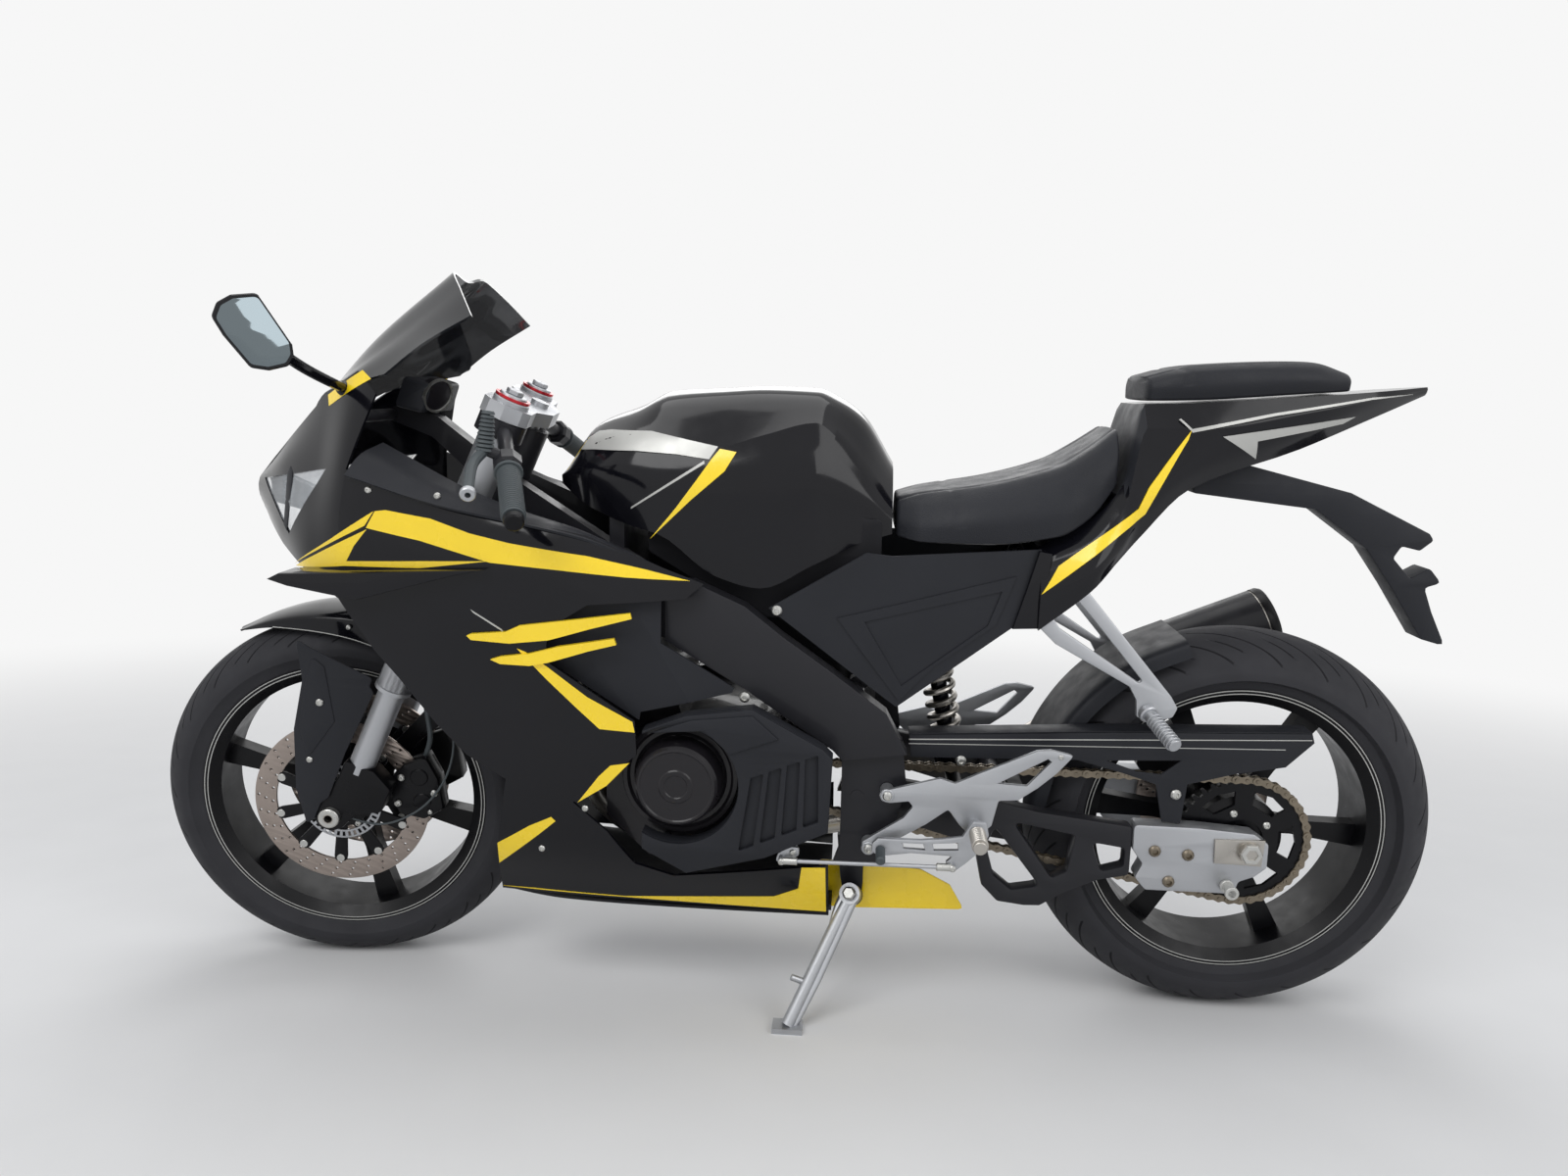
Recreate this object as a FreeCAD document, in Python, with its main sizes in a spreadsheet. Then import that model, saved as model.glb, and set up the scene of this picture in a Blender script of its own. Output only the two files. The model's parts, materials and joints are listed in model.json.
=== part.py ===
"""Sport bike with a full fairing, leaning on its side stand.

The bike is modelled upright: X forward, Y to the rider's left, Z up, with the rear axle above X = 0 and
the tyres on Z = 0. The steering group is modelled in a frame of its own, whose Z is the steering axis.
At the end the front is steered, the whole bike leans onto its stand, and the origin goes to the ground
under the middle of its bounding box. Millimetres and degrees.
"""
import FreeCAD, Part
import math
import os
import Sketcher
from FreeCAD import Placement, Rotation, Vector

SIZES = {
    # stance and steering
    "wheelbase": 1433, "rake": 24.5, "trail": 95, "steer_angle": 7.2, "steering_lock": 27, "lean_angle": 6.3,
    # wheels: outer radius, width, crown radius, rim half width
    "front_tyre_radius": 299, "front_tyre_width": 120, "front_crown": 65, "front_rim_half": 45,
    "rear_tyre_radius": 312, "rear_tyre_width": 160, "rear_crown": 86, "rear_rim_half": 57,
    "tyre_steps": 58, "bead_radius": 216, "flange_height": 13, "barrel_wall": 10, "flange_width": 5,
    "front_hub_half": 48, "front_hub_radius": 36, "rear_hub_half": 55, "rear_hub_radius": 44,
    "spoke_width": 30, "spoke_depth": 26, "axle_radius": 10, "axle_bore": 6.5, "bearing_fit": 0.05, "seat_gap": 0.3,
    # brakes
    "front_disc_radius": 140, "front_disc_at": 62, "rear_disc_radius": 108, "rear_disc_at": 90,
    "disc_thickness": 4.5, "disc_band": 34, "pad_clearance": 1.5, "carrier_thickness": 5, "disc_hole": 3.4,
    "disc_holes": 18, "carrier_arms": 6,
    # fork and steering head
    "fork_offset": 25, "fork_spread": 100, "outer_tube_radius": 27, "stanchion_radius": 20.5,
    "outer_tube_low": 546, "stanchion_low": 372, "fork_top": 1042, "cap_height": 12, "cap_radius": 21,
    "lower_clamp_at": 752, "lower_clamp_height": 36, "upper_clamp_at": 1012, "upper_clamp_height": 22,
    "clamp_wall": 9, "stem_radius": 14, "head_tube_radius": 30, "head_tube_low": 796, "head_tube_high": 1000,
    "foot_inner": 82, "foot_outer": 120, "foot_radius": 24,
    # hand controls
    "bar_radius": 11, "grip_radius": 16.5, "grip_length": 118, "clip_height": 26, "lever_reach": 68,
    # front fender
    "fender_radius": 322, "fender_half_width": 70, "fender_wall": 3, "fender_depth": 38, "leg_guard_wall": 3.2,
    # rear end
    "pivot_x": 584, "pivot_z": 378, "arm_outer": 131, "arm_thickness": 26,
    "end_plate_outer": 134, "end_plate_thickness": 30, "pivot_tube_radius": 22, "spool_radius": 10,
    "spool_length": 28, "chain_line": 93, "chain_plate": 2, "chain_gap": 7.4, "chain_height": 14,
    "chain_waist": 1.2, "rear_sprocket_radius": 98, "rear_sprocket_teeth": 39, "front_sprocket_radius": 36,
    "front_sprocket_x": 652, "front_sprocket_z": 372, "tooth_height": 5, "sprocket_thickness": 5.8, "guard_wall": 3,
    "guard_outer": 124, "hugger_radius": 321, "hugger_half_width": 82, "shock_radius": 27, "cross_tube_radius": 12,
    # frame and engine
    "spar_outer": 165, "spar_thickness": 32, "plate_thickness": 14, "frame_bolt_radius": 10,
    "crankcase_half": 148, "cylinder_half": 110, "cover_radius": 88, "cover_depth": 22,
    "hub_cover_radius": 62, "hub_cover_depth": 40, "shroud_outer": 204, "shroud_step": 5, "louvre_depth": 11,
    "radiator_half": 150, "pipe_radius": 19, "silencer_radius": 52,
    # bodywork
    "skin_wall": 4, "vent_recess": 22, "screen_wall": 4,
    "mirror_width": 122, "mirror_height": 84, "mirror_depth": 30, "mirror_turn": 37,
    # stand and foot controls
    "stand_pivot_x": 589, "stand_pivot_y": 118, "stand_pivot_z": 203, "stand_radius": 10, "stand_eye_half": 11,
    "stand_bolt": 6, "stand_fold": 108,
    "stand_foot_x": 678, "stand_foot_y": 212, "foot_pad_length": 46, "foot_pad_width": 34,
    "foot_pad_height": 8, "peg_radius": 12, "peg_length": 72, "rearset_wall": 8,
}

doc = FreeCAD.newDocument("SportBike")
sheet = doc.addObject("Spreadsheet::Sheet", "Sizes")
for row, (alias, value) in enumerate(SIZES.items(), start=1):
    sheet.set("A%d" % row, alias)
    sheet.set("B%d" % row, str(value))
    sheet.setAlias("B%d" % row, alias)
doc.recompute()


def size(alias):
    return float(sheet.get(alias))


def bind(obj, **cells):
    """Ties properties of an object to cells of the sheet; the value may be a formula of aliases."""
    for prop, formula in cells.items():
        obj.setExpression(prop, formula)


def cell(formula):
    """Turns a formula of aliases into one the expression engine reads."""
    for alias in sorted(SIZES, key=len, reverse=True):
        formula = formula.replace("{%s}" % alias, "Sizes." + alias)
    return formula


# Frames of reference

RAKE = math.radians(size("rake"))
STEER_GROUND = Vector(size("wheelbase") + size("trail"), 0, 0)
STEER_AXIS = Vector(-math.sin(RAKE), 0, math.cos(RAKE))
FORK_POSE = Placement(STEER_GROUND, Rotation(Vector(0, 1, 0), -size("rake")))
REAR_AXLE = Vector(0, 0, size("rear_tyre_radius"))
FRONT_AXLE = Vector(size("wheelbase"), 0, size("front_tyre_radius"))
FORK_AXLE = FORK_POSE.inverse().multVec(FRONT_AXLE)
SPOOL_AT = Vector(28, 0, 256)
STAND_PIVOT = Vector(size("stand_pivot_x"), size("stand_pivot_y"), size("stand_pivot_z"))
STAND_AXIS = Vector(0.138, 0.855, 0.5).normalize()


def along_stand(distance):
    """Point of the stand's hinge axis, outboard of its pivot by the distance."""
    return STAND_PIVOT + STAND_AXIS * distance


def tyre_profile(end):
    """Outer profile of a tyre as (offset along the axle, radius), bead to bead over the crown."""
    radius = size(end + "_tyre_radius")
    half = size(end + "_tyre_width") / 2
    crown = size(end + "_crown")
    bead_half = size(end + "_rim_half") - 0.6
    shoulder = math.asin((half - 1.5) / crown)
    steps = 6
    angles = [shoulder * (2 * i / steps - 1) for i in range(steps + 1)]
    tread = [(crown * math.sin(a), radius - crown * (1 - math.cos(a))) for a in angles]
    bulge_radius = tread[0][1] - 16
    flange_top = size("bead_radius") + size("flange_height")
    bead = (size("bead_radius") + size("seat_gap")) / math.cos(math.pi / size("tyre_steps"))
    side = [(bead_half, bead),
            (bead_half + size("flange_width") - 0.4, flange_top + 1),
            (half, bulge_radius)]
    left = list(reversed(side))
    right = [(-y, r) for y, r in side]
    return right + tread + left


def tyre_rings(profile):
    """A profile (offset, radius) at flat steps round the axle, a flat step undermost."""
    steps = int(size("tyre_steps"))
    rings = []
    for i in range(steps):
        angle = 2 * math.pi * (i + 0.5) / steps
        rings.append([(r * math.sin(angle), y, -r * math.cos(angle)) for y, r in profile])
    return rings


def lowest(end, pose, axle):
    """Height of a tyre's lowest point in a pose of the bike."""
    return min(pose.multVec(axle + Vector(*point)).z for ring in tyre_rings(tyre_profile(end)) for point in ring)


STEER_POSE = Placement(Vector(), Rotation(STEER_AXIS, size("steer_angle")), STEER_GROUND)
LEAN = Placement(Vector(), Rotation(Vector(1, 0, 0), -size("lean_angle")))


def level(lean):
    """Pitches and lifts the leaning bike until both tyres touch the ground."""
    pose = lean
    for _ in range(4):
        rear_low = lowest("rear", pose, REAR_AXLE)
        front_low = lowest("front", pose.multiply(STEER_POSE), FRONT_AXLE)
        pitch = math.degrees(math.atan2(front_low - rear_low, size("wheelbase")))
        pose = Placement(Vector(0, 0, -rear_low), Rotation(Vector(0, 1, 0), pitch)).multiply(pose)
    return pose


STANCE = level(LEAN)


# Makers of features

def draw(sketch, loops):
    """Draws closed loops in a sketch: lists of points, or circles as (x, y, radius)."""
    for loop in loops:
        if isinstance(loop, tuple):
            x, y, radius = loop
            sketch.addGeometry(Part.Circle(Vector(x, y, 0), Vector(0, 0, 1), radius), False)
            continue
        first = sketch.GeometryCount
        count = len(loop)
        for i, (x, y) in enumerate(loop):
            nx, ny = loop[(i + 1) % count]
            sketch.addGeometry(Part.LineSegment(Vector(x, y, 0), Vector(nx, ny, 0)), False)
        for i in range(count):
            follower = first + (i + 1) % count
            sketch.addConstraint(Sketcher.Constraint("Coincident", first + i, 2, follower, 1))


def new_body(name, role, loops, offset=None):
    """A body with one sketch on an origin plane."""
    body = doc.addObject("PartDesign::Body", name)
    sketch = body.newObject("Sketcher::SketchObject", name + "_sketch")
    plane = next(item for item in body.Origin.OriginFeatures if item.Role == role)
    sketch.AttachmentSupport = [(plane, "")]
    sketch.MapMode = "FlatFace"
    if offset is not None:
        sketch.setExpression("AttachmentOffset.Base.z", cell(offset))
    draw(sketch, loops)
    return body, sketch


def plate(name, loops, outer, thickness):
    """A side-view outline (x, z), from Y = outer inwards by its thickness."""
    body, sketch = new_body(name, "XZ_Plane", loops, "-(%s)" % outer)
    pad = body.newObject("PartDesign::Pad", name + "_pad")
    pad.Profile = sketch
    bind(pad, Length=cell(thickness))
    return body


def turned(name, profile, centre=Vector()):
    """A profile (offset along the axle, radius) turned about an axle parallel to Y."""
    body, sketch = new_body(name, "XY_Plane", [[(r, y) for y, r in profile]])
    turn = body.newObject("PartDesign::Revolution", name + "_turn")
    turn.Profile = sketch
    turn.ReferenceAxis = (sketch, ["V_Axis"])
    turn.Angle = 360
    body.Placement = Placement(centre, Rotation())
    return body


def rod(name, start, end, radius):
    """A cylinder between two points, its radius bound to the sheet."""
    start = Vector(*start)
    run = Vector(*end) - start
    cylinder = doc.addObject("Part::Cylinder", name)
    bind(cylinder, Radius=cell(radius))
    cylinder.Height = run.Length
    cylinder.Placement = Placement(start, Rotation(Vector(0, 0, 1), run))
    return cylinder


def block(name, corner, spans):
    """A box from its low corner."""
    box = doc.addObject("Part::Box", name)
    box.Length, box.Width, box.Height = spans
    box.Placement = Placement(Vector(*corner), Rotation())
    return box


def solid_from(faces):
    """A closed solid from flat faces, each a list of points."""
    made = [Part.Face(Part.makePolygon([Vector(*p) for p in face] + [Vector(*face[0])])) for face in faces]
    shell = Part.makeShell(made)
    shell.sewShape()
    solid = Part.makeSolid(shell)
    if solid.Volume < 0:
        solid.reverse()
    return solid


def feature(name, shape):
    obj = doc.addObject("Part::Feature", name)
    obj.Shape = shape
    return obj


def triangles(a, b, c, d):
    return [[a, b, c], [a, c, d]]


def grid_solid(outer, inner):
    """Solid between two grids of points with as many rows and columns, its sides closed."""
    rows = len(outer)
    cols = len(outer[0])
    faces = []
    for i in range(rows - 1):
        for j in range(cols - 1):
            faces += triangles(outer[i][j], outer[i + 1][j], outer[i + 1][j + 1], outer[i][j + 1])
            faces += triangles(inner[i][j], inner[i][j + 1], inner[i + 1][j + 1], inner[i + 1][j])
    for i in range(rows - 1):
        for j in (0, cols - 1):
            faces += triangles(outer[i][j], outer[i + 1][j], inner[i + 1][j], inner[i][j])
    for j in range(cols - 1):
        for i in (0, rows - 1):
            faces += triangles(outer[i][j], outer[i][j + 1], inner[i][j + 1], inner[i][j])
    return solid_from(faces)


def normals(grid):
    """Unit normals at the points of a grid, from the faces that meet there."""
    rows = len(grid)
    cols = len(grid[0])
    result = []
    for i in range(rows):
        line = []
        for j in range(cols):
            ahead = Vector(*grid[min(i + 1, rows - 1)][j]) - Vector(*grid[max(i - 1, 0)][j])
            across = Vector(*grid[i][min(j + 1, cols - 1)]) - Vector(*grid[i][max(j - 1, 0)])
            line.append(across.cross(ahead).normalize())
        result.append(line)
    return result


def shifted(grid, depth):
    """A grid moved along its normals; columns on the centre plane stay on it."""
    result = []
    for row, line in zip(grid, normals(grid)):
        moved = []
        for point, normal in zip(row, line):
            if abs(point[1]) < 1e-6:
                normal = Vector(normal.x, 0, normal.z)
            moved.append(tuple(Vector(*point) - normal * depth))
        result.append(moved)
    return result


def combine(kind, name, base, tool):
    """Part::Cut or Part::Common of two objects."""
    obj = doc.addObject("Part::" + kind, name)
    obj.Base = base
    obj.Tool = tool
    obj.Refine = True
    return obj


def joined(name, pieces):
    obj = doc.addObject("Part::MultiFuse", name)
    obj.Shapes = pieces
    obj.Refine = True
    return obj


def mirrored(name, source):
    obj = doc.addObject("Part::Mirroring", name)
    obj.Source = source
    obj.Normal = Vector(0, 1, 0)
    return obj


def group(name, pieces):
    """Separate solids that share a node."""
    obj = doc.addObject("Part::Compound", name)
    obj.Links = pieces
    return obj


def pair(name, left):
    """A left piece and its mirror image as one node."""
    return group(name, [left, mirrored(name + "_right", left)])


def prism(name, outline, half=400):
    """A side-view outline (x, z) drawn right across the bike."""
    wire = Part.makePolygon([Vector(x, -half, z) for x, z in outline + outline[:1]])
    return feature(name, Part.Face(wire).extrude(Vector(0, 2 * half, 0)))


def tube(points, radius):
    """A bent round tube: straight runs with tangent arcs at the bends."""
    points = [Vector(*p) for p in points]
    edges = []
    start = points[0]
    for before, here, after in zip(points, points[1:], points[2:]):
        back = (before - here).normalize()
        ahead = (after - here).normalize()
        turn = math.pi - back.getAngle(ahead)
        bend = 0.45 * min((before - here).Length, (after - here).Length) / math.tan(turn / 2)
        trim = bend * math.tan(turn / 2)
        first = here + back * trim
        last = here + ahead * trim
        middle = here + (back + ahead).normalize() * (bend / math.cos(turn / 2) - bend)
        edges.append(Part.LineSegment(start, first).toShape())
        edges.append(Part.Arc(first, middle, last).toShape())
        start = last
    edges.append(Part.LineSegment(start, points[-1]).toShape())
    path = Part.Wire(edges)
    section = Part.Wire(Part.makeCircle(radius, points[0], points[1] - points[0]))
    return path.makePipeShell([section], True, False)


# Wheels

def tyre(end, centre):
    """A tyre in flat steps round the axle: its profile is bead to bead over the crown, then back inside."""
    outer = tyre_profile(end)
    bead = outer[0][1]
    half = size(end + "_tyre_width") / 2
    inner = [(size(end + "_rim_half") - 12, bead), (half * 0.72, size(end + "_tyre_radius") - 34)]
    profile = outer + inner + [(-y, r) for y, r in reversed(inner)]
    rings = tyre_rings(profile)
    faces = []
    for ring, follower in zip(rings, rings[1:] + rings[:1]):
        for j in range(len(profile)):
            k = (j + 1) % len(profile)
            faces.append([ring[j], ring[k], follower[k], follower[j]])
    body = feature(end + "_tyre", solid_from(faces))
    body.Placement = Placement(centre, Rotation())
    return body


def rim(end, centre, spin, extras=()):
    half = size(end + "_rim_half")
    edge = half + size("flange_width")
    bead = size("bead_radius")
    lip = bead + size("flange_height")
    inside = bead - size("barrel_wall")
    hub = size(end + "_hub_half")
    barrel = turned(end + "_barrel", [(-edge, lip), (-half, bead), (half, bead), (edge, lip),
                                      (edge, lip - 8), (half - 8, inside), (8 - half, inside), (-edge, lip - 8)])
    hub_radius = size(end + "_hub_radius")
    core = turned(end + "_hub", [(-hub, 0), (-hub, hub_radius), (hub, hub_radius), (hub, 0)])
    wide = size("spoke_width") * 0.62
    slim = size("spoke_width") * 0.38
    spokes = []
    for i in range(6):
        body, sketch = new_body("%s_spoke_%d" % (end, i), "XZ_Plane",
                                [[(-wide, 20), (wide, 20), (slim, 110), (wide, inside + 3), (-wide, inside + 3),
                                  (-slim, 110)]])
        pad = body.newObject("PartDesign::Pad", "%s_spoke_pad_%d" % (end, i))
        pad.Profile = sketch
        pad.Midplane = True
        bind(pad, Length=cell("{spoke_depth}"))
        body.Placement = Placement(Vector(), Rotation(Vector(0, 1, 0), spin + 60 * i))
        spokes.append(body)
    solid = joined(end + "_casting", [barrel, core] + spokes + list(extras))
    bore = rod(end + "_bore", (0, -hub - 60, 0), (0, hub + 60, 0), "{axle_radius} + {bearing_fit}")
    wheel = combine("Cut", end + "_rim", solid, bore)
    wheel.Placement = Placement(centre, Rotation())
    return wheel


def polar(radius, degrees):
    """Point (x, z) at a radius and an angle from forward."""
    angle = math.radians(degrees)
    return radius * math.cos(angle), radius * math.sin(angle)


def disc_pair(name, radius, at, hub_at, hub_radius):
    """A brake disc drilled through its band, on a carrier with open arms and a step that meets the hub."""
    half = size("disc_thickness") / 2
    band = radius - size("disc_band")
    thick = size("carrier_thickness") / 2
    solid = turned(name + "_solid", [
        (at - half, radius), (at + half, radius), (at + half, band), (at + thick, band - 6),
        (at + thick, hub_radius), (hub_at, hub_radius), (hub_at, hub_radius + 12),
        (at - thick, hub_radius + 16), (at - thick, band - 6), (at - half, band)])
    inner, outer = hub_radius + 24, band - 10
    outlines = []
    for i in range(int(size("carrier_arms"))):
        middle = 360 * i / size("carrier_arms")
        outlines.append([polar(inner, middle - 14), polar(outer, middle - 22), polar(outer + 2, middle),
                         polar(outer, middle + 22), polar(inner, middle + 14)])
    for i in range(int(size("disc_holes"))):
        x, z = polar(radius - size("disc_band") * (0.3 if i % 2 else 0.66), 360 * i / size("disc_holes"))
        outlines.append([(x + dx, z + dz) for dx, dz in (polar(size("disc_hole"), 60 * k) for k in range(6))])
    cuts = []
    for outline in outlines:
        wire = Part.makePolygon([Vector(x, at - 12, z) for x, z in outline + outline[:1]])
        cuts.append(Part.Face(wire).extrude(Vector(0, 24, 0)))
    return combine("Cut", name, solid, feature(name + "_openings", Part.Compound(cuts)))


def front_wheel():
    left = disc_pair("front_disc", size("front_disc_radius"), size("front_disc_at"),
                     size("front_hub_half") + size("seat_gap"), 20)
    discs = pair("front_discs", left)
    discs.Placement = Placement(FRONT_AXLE, Rotation())
    return [tyre("front", FRONT_AXLE), rim("front", FRONT_AXLE, 12), discs]


def sprocket_outline():
    """Toothed outline (x, z) about the axle, as many teeth as the chain's pitch gives."""
    teeth = int(size("rear_sprocket_teeth"))
    radius = size("rear_sprocket_radius")
    points = []
    for i in range(teeth):
        for share, height in ((0, -1), (0.3, -0.9), (0.44, 0.8), (0.7, 0.8), (0.84, -0.9)):
            points.append(polar(radius + height * size("tooth_height"), 360 * (i + share) / teeth))
    return points


def rear_wheel():
    hub = size("rear_hub_half")
    line = size("chain_line")
    half = size("sprocket_thickness") / 2
    cush = turned("cush_hub", [(20, 24), (20, 66), (line - half - 8, 66), (line - half, 50), (line - half, 24)])
    disc = disc_pair("rear_disc_left", size("rear_disc_radius"), size("rear_disc_at"),
                     hub + size("seat_gap"), 20)
    right = mirrored("rear_disc", disc)
    right.Placement = Placement(REAR_AXLE, Rotation())
    windows = []
    for i in range(6):
        middle = 60 * i
        windows.append([polar(58, middle - 17), polar(80, middle - 20), polar(82, middle), polar(80, middle + 20),
                        polar(58, middle + 17)])
    sprocket = plate("rear_sprocket", [sprocket_outline(), (0, 0, 34)] + windows,
                     "{chain_line} + {sprocket_thickness} / 2", "{sprocket_thickness} - {seat_gap}")
    sprocket.Placement = Placement(REAR_AXLE, Rotation())
    return [tyre("rear", REAR_AXLE), rim("rear", REAR_AXLE, 25, [cush]), right, sprocket]


# Steering group, in the fork's own frame

def fork():
    x = size("fork_offset")
    y = size("fork_spread")
    tubes = []
    legs = []
    for side, sign in (("left", 1), ("right", -1)):
        low = (x, sign * y, size("outer_tube_low"))
        top = (x, sign * y, size("fork_top"))
        cap = (x, sign * y, size("fork_top") + size("cap_height"))
        tubes.append(joined("outer_tube_" + side, [
            rod("tube_" + side, low, top, "{outer_tube_radius}"), rod("cap_" + side, top, cap, "{cap_radius}")]))
        stanchion = rod("stanchion_" + side, (x, sign * y, size("stanchion_low")),
                        (x, sign * y, size("outer_tube_low")), "{stanchion_radius}")
        ax, az = FORK_AXLE.x, FORK_AXLE.z
        r = size("foot_radius")
        outline = [(ax - r, az - 0.45 * r), (ax - 0.45 * r, az - r), (ax + 0.45 * r, az - r), (ax + r, az - 0.45 * r),
                   (ax + r, az + 0.6 * r), (x + r, az + 3 * r), (x + r, az + 4.2 * r), (x - r, az + 4.2 * r),
                   (x - 2.4 * r, az + 3.4 * r), (x - 2.4 * r, az + 1.6 * r), (x - r, az + 0.8 * r)]
        outer = "{foot_outer}" if sign > 0 else "-{foot_inner}"
        foot = plate("foot_" + side, [outline], outer, "{foot_outer} - {foot_inner}")
        whole = joined("leg_solid_" + side, [stanchion, foot])
        hole = rod("foot_hole_" + side, (ax, sign * 60, az), (ax, sign * 140, az), "{axle_radius} + {seat_gap}")
        legs.append(combine("Cut", "leg_" + side, whole, hole))
    return [group("fork_tubes", tubes), group("fork_legs", legs)]


def clamp_outline(grow, rear):
    """Outline of a fork clamp seen along the steering axis: rounded ends joined by a waisted bridge."""
    x = size("fork_offset")
    y = size("fork_spread")
    r = size("outer_tube_radius") + size("clamp_wall")
    d = r * 0.7
    right = [(x - r, y - d), (x - r, y + 0.4 * r), (x - d, y + d), (x, y + r), (x + d, y + d), (x + r, y + 0.4 * r),
             (x + r, y - d), (x + grow, 0.35 * y)]
    left = [(px, -py) for px, py in reversed(right)]
    return right + left + [(-rear, -0.3 * y), (-rear, 0.3 * y)]


def clamps():
    pieces = []
    for which, grow, rear in (("lower", 18, 28), ("upper", 12, 30)):
        body, sketch = new_body(which + "_clamp", "XY_Plane", [clamp_outline(grow, rear)], "{%s_clamp_at}" % which)
        pad = body.newObject("PartDesign::Pad", which + "_clamp_pad")
        pad.Profile = sketch
        bind(pad, Length=cell("{%s_clamp_height}" % which))
        pieces.append(body)
    stem_low = (0, 0, size("lower_clamp_at") + 4)
    stem_high = (0, 0, size("upper_clamp_at") + size("upper_clamp_height") + 8)
    pieces.append(rod("stem", stem_low, stem_high, "{stem_radius}"))
    whole = joined("clamp_solid", pieces)
    holes = [rod("clamp_hole_%d" % i, (size("fork_offset"), sign * size("fork_spread"), 700),
                 (size("fork_offset"), sign * size("fork_spread"), 1100), "{outer_tube_radius} + {seat_gap}")
             for i, sign in enumerate((1, -1))]
    return combine("Cut", "fork_clamps", whole, joined("clamp_holes", holes))


def front_axle():
    ax, az = FORK_AXLE.x, FORK_AXLE.z
    end = size("foot_outer") + size("seat_gap")
    shaft = rod("axle_shaft", (ax, -end - 8, az), (ax, end + 8, az), "{axle_radius}")
    pieces = [shaft]
    for i, sign in enumerate((1, -1)):
        hub = sign * (size("front_hub_half") + size("seat_gap"))
        foot = sign * (size("foot_inner") - size("seat_gap"))
        pieces.append(rod("axle_spacer_%d" % i, (ax, hub, az), (ax, foot, az), "{axle_radius} + 5"))
        pieces.append(rod("axle_head_%d" % i, (ax, sign * end, az), (ax, sign * (end + 8), az), "{axle_radius} + 5"))
    hollow = rod("axle_hollow", (ax, -end - 20, az), (ax, end + 20, az), "{axle_bore}")
    return combine("Cut", "front_axle", joined("axle_solid", pieces), hollow)


def front_fender():
    """A peaked arch over the tyre, its rows by angle about the axle."""
    ax, az = FORK_AXLE.x, FORK_AXLE.z
    wall = size("fender_wall")
    # angle from forward, share of the width, share of the side depth
    rows = [(36, 0.2, 0.1), (48, 0.62, 0.45), (62, 0.86, 0.8), (80, 1.0, 1.1), (100, 1.0, 1.4), (118, 1.0, 1.3),
            (134, 0.95, 0.9)]

    def ring(angle, width, depth, inset):
        radius = size("fender_radius") - inset
        half = size("fender_half_width") * width - inset
        drop = size("fender_depth") * depth
        a = math.radians(angle)
        across = [(-half, drop), (-half, 12 * width), (-0.6 * half, 2), (0, 0), (0.6 * half, 2), (half, 12 * width),
                  (half, drop)]
        return [(ax + (radius - d) * math.cos(a), y, az + (radius - d) * math.sin(a)) for y, d in across]

    outer = [ring(*row, 0) for row in rows]
    inner = [ring(*row, wall) for row in rows]
    shell = feature("fender_shell", grid_solid(outer, inner))
    x = size("fork_offset")
    reach = size("fork_spread") - size("outer_tube_radius") - size("seat_gap")
    half = size("fender_half_width") - 2
    tabs = [rod("fender_tab_%d" % i, (x, sign * half, 596), (x, sign * reach, 596), "14")
            for i, sign in enumerate((1, -1))]
    arch = joined("fender_arch", [shell] + tabs)
    # guard over each fork leg: heights and distances are along the fork
    outline = [(183, 573), (161, 568), (56, 560), (56, 546), (46, 538), (52, 426), (50, 345), (58, 330), (58, 300),
               (66, 288), (101, 338), (137, 432), (152, 514)]
    guard = plate("leg_guard", [outline], "{fork_spread} + {stanchion_radius} + {seat_gap} + {leg_guard_wall}",
                  "{leg_guard_wall}")
    return group("front_fender", [arch, guard, mirrored("leg_guard_right", guard)])


def front_calipers():
    ax, az = FORK_AXLE.x, FORK_AXLE.z
    at = size("front_disc_at")
    r = size("front_disc_radius")
    # direction and distance from the axle, as shares of the disc's radius
    outline = [(150, 0.62), (128, 0.66), (122, 0.92), (126, 1.14), (140, 1.2), (158, 1.18), (166, 0.98), (164, 0.7)]
    points = [(ax + r * k * math.cos(math.radians(a)), az + r * k * math.sin(math.radians(a))) for a, k in outline]
    body = plate("caliper_body", [points], "{foot_inner} - {seat_gap}", "{foot_inner} - {seat_gap} - 42")
    gap = size("disc_thickness") / 2 + size("pad_clearance")
    slot = turned("caliper_slot", [(at - gap, 0), (at - gap, r + 5), (at + gap, r + 5), (at + gap, 0)], FORK_AXLE)
    caliper = combine("Cut", "caliper_left", body, slot)
    return pair("front_calipers", caliper)


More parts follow.
